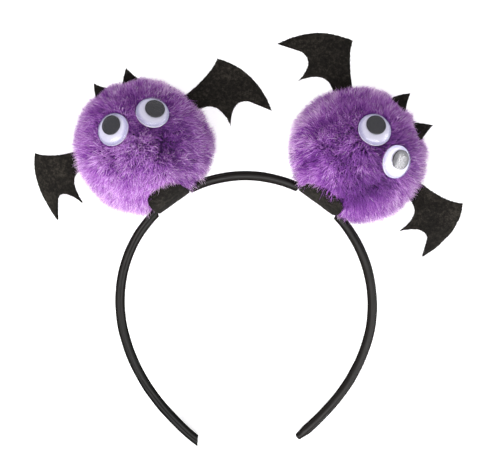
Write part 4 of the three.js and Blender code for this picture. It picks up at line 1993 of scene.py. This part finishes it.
BATS = (
    Bat(
        side="left", hoop_turn=-33.2, roll=24, patch_turn=-36,
        patch_length=0.57 * POMPOM_RADIUS, patch_rise=0.27 * POMPOM_RADIUS,
        wings=(
            Wing("outer", -1, 0.92, 11.5, -5.3, 25, 11.5, 22),
            Wing("inner", 1, 0.92, 18, 0, 1, 4, 2),
        ),
        ears=(Ear("outer", 14, 2, 1.2), Ear("inner", -13, 8, -0.1)),
        eyes=(Eye("outer", -0.285, 0.352, 90), Eye("inner", 0.369, 0.345, 35)),
        # each row's last value is painted light and shade
        creases=(
            (0.25, 0.06, 0.34, -0.23, 0.12, 0.07, -0.15),
            (0.34, -0.23, 0.41, -0.64, 0.12, 0.07, -0.18),
            (0.5, -0.05, 0.55, -0.4, 0.14, 0.03, -0.07),
            (0.02, 0.0, 0.2, -0.62, 0.12, -0.035, 0.13),
            (0.75, 0.3, 0.78, 0.0, 0.12, -0.03, 0.05),
            (0.84, -0.2, 0.87, -0.5, 0.2, -0.035, 0.0),
            (-0.35, 0.93, -0.9, 0.35, 0.25, -0.02, 0.03),
            (-0.6, -0.2, 0.0, -0.8, 0.4, 0.0, 0.13),
            (-0.6, 0.5, 0.5, 0.6, 0.5, 0.0, 0.05),
            (0.65, 0.25, 0.75, -0.35, 0.2, 0.0, -0.02),
            (0.6, 0.8, 0.98, 0.1, 0.2, 0.045, 0.0),
        ),
        comb=(-0.3, -0.7, 0.0), overhang=0.0, seed=1,
    ),
    Bat(
        side="right", hoop_turn=37, roll=-54, patch_turn=36,
        patch_length=0.67 * POMPOM_RADIUS, patch_rise=0.2 * POMPOM_RADIUS,
        wings=(
            Wing("inner", -1, 0.92, 23, 12, 1, -4, 13),
            Wing("outer", 1, 0.95, 21, 0, 1, 18, 48),
        ),
        ears=(Ear("inner", 14, -7, -2.2), Ear("outer", -16, 2, -2.4)),
        eyes=(Eye("inner", -0.137, 0.345, 128), Eye("outer", 0.455, 0.335, 80)),
        # each row's last value is painted light and shade
        creases=(
            (-0.635, -0.478, -0.6, -0.037, 0.09, 0.08, -0.27),
            (-0.356, -0.787, -0.312, -0.282, 0.1, 0.07, -0.23),
            (0.406, -0.625, 0.587, 0.068, 0.11, 0.085, -0.25),
            (-0.855, -0.388, -0.84, 0.03, 0.12, -0.035, 0.2),
            (-0.489, -0.476, -0.553, -0.071, 0.08, -0.035, 0.2),
            (0.7, -0.62, 0.8, -0.1, 0.14, -0.03, 0.08),
            (0.35, -0.1, 0.6, -0.45, 0.36, 0.0, -0.28),
            (-0.3, 0.95, 0.35, 0.93, 0.2, 0.035, 0.0),
            (-0.93, 0.27, -0.63, 0.75, 0.2, 0.045, 0.0),
        ),
        comb=(0.35, -0.3, 0.0), overhang=0.4, seed=2,
    ),
)


# Studio


@dataclass
class Softbox:
    """A flat lamp: its place, size in metres, power in watts, aim, and what it lights."""

    name: str
    spot: tuple
    size: tuple
    power: float
    aim: tuple = (0.0, 0.0, 0.03)
    lights: Lights = Lights.ALL

    def build(self) -> None:
        """Puts the lamp up."""
        light = bpy.data.lights.new(self.name, "AREA")
        light.shape = "RECTANGLE"
        light.size, light.size_y = self.size
        light.energy = self.power
        lamp = bpy.data.objects.new(self.name, light)
        bpy.context.scene.collection.objects.link(lamp)
        lamp.location = self.spot
        lamp.visible_diffuse = self.lights.value
        way = Vector(self.aim) - Vector(self.spot)
        lamp.rotation_euler = way.to_track_quat("-Z", "Y").to_euler()


@dataclass
class Studio:
    """Floor, camera, lamps and surroundings."""

    focal: float = 117.4
    eye: tuple = (2.09, 31.6, 750.0)
    surroundings: float = 1.1
    floor_half: float = 2.5
    floor_level: float = -0.0002
    lamps: tuple = (
        Softbox("lamp_key", (-0.3, -0.75, 0.55), (1.1, 0.4), 11.0),
        Softbox("lamp_top", (0.0, -0.55, 0.88), (1.4, 0.3), 26.0, lights=Lights.GLOSS),
        Softbox(
            "lamp_side", (0.6, -0.24, 0.2), (0.8, 0.36), 13.0, (0.06, 0.03, 0.05), Lights.GLOSS
        ),
    )

    def build(self) -> None:
        """Sets up the floor, the surroundings, the lamps and the camera."""
        scene = bpy.context.scene
        scene.view_settings.view_transform = "Standard"
        scene.view_settings.look = "None"
        world = bpy.data.worlds.new("surroundings")
        world.use_nodes = True
        inputs = world.node_tree.nodes["Background"].inputs
        inputs["Color"].default_value = (1, 1, 1, 1)
        inputs["Strength"].default_value = self.surroundings
        scene.world = world
        for lamp in self.lamps:
            lamp.build()
        self.build_floor()
        self.build_camera()

    def build_floor(self) -> None:
        """Lays the floor just under the part."""
        corners = np.array([[-1, -1], [1, -1], [1, 1], [-1, 1]]) * self.floor_half
        mesh = bpy.data.meshes.new("floor")
        points = [(x, y, self.floor_level) for x, y in corners]
        mesh.from_pydata(points, [], [(0, 1, 2, 3)])
        floor = bpy.data.objects.new("floor", mesh)
        bpy.context.scene.collection.objects.link(floor)
        mesh.materials.append(FloorFinish().made())

    def build_camera(self) -> None:
        """Stands the camera on the hoop's normal, as the photograph was taken."""
        data = bpy.data.cameras.new("camera")
        data.sensor_width = 36.0
        data.lens = self.focal
        data.clip_start, data.clip_end = 0.01, 20
        camera = bpy.data.objects.new("camera", data)
        bpy.context.scene.collection.objects.link(camera)
        camera.location = Vector(placed(np.array([self.eye]), REST)[0] * MM)
        back, top = Vector(REST[:3, 2]), Vector(REST[:3, 1])
        right = top.cross(back).normalized()
        camera.matrix_world = matrix_of(right, back.cross(right), back, camera.location)
        bpy.context.scene.camera = camera


def matrix_of(x: Vector, y: Vector, z: Vector, spot: Vector) -> list:
    """Rows of the 4 by 4 matrix with those axes and that place."""
    return Matrix([[x[i], y[i], z[i], spot[i]] for i in range(3)] + [[0, 0, 0, 1]])


@dataclass
class Looks:
    """The materials, made once."""

    satin: bpy.types.Material
    fur: bpy.types.Material
    felt: bpy.types.Material
    white: bpy.types.Material
    clear: bpy.types.Material
    pupil: bpy.types.Material


def main() -> None:
    """Builds the headband and the studio."""
    logging.basicConfig(level=logging.INFO, format="%(name)s %(message)s")
    look = Looks(
        satin=SatinFinish().made(),
        fur=FurFinish().made(),
        felt=FeltFinish().made(),
        white=PlasticFinish("white_plastic", (0.58, 0.575, 0.64), (0.52, 0.51, 0.58), 0.28).made(),
        clear=DomeFinish().made(),
        pupil=PlasticFinish(
            "black_plastic", (0.0025, 0.0025, 0.005), (0.010, 0.010, 0.014), 0.3, 0.2
        ).made(),
    )
    Hoop(look.satin).build()
    for bat in BATS:
        bat.build(look)
    Studio().build()


if __name__ == "__main__":
    main()
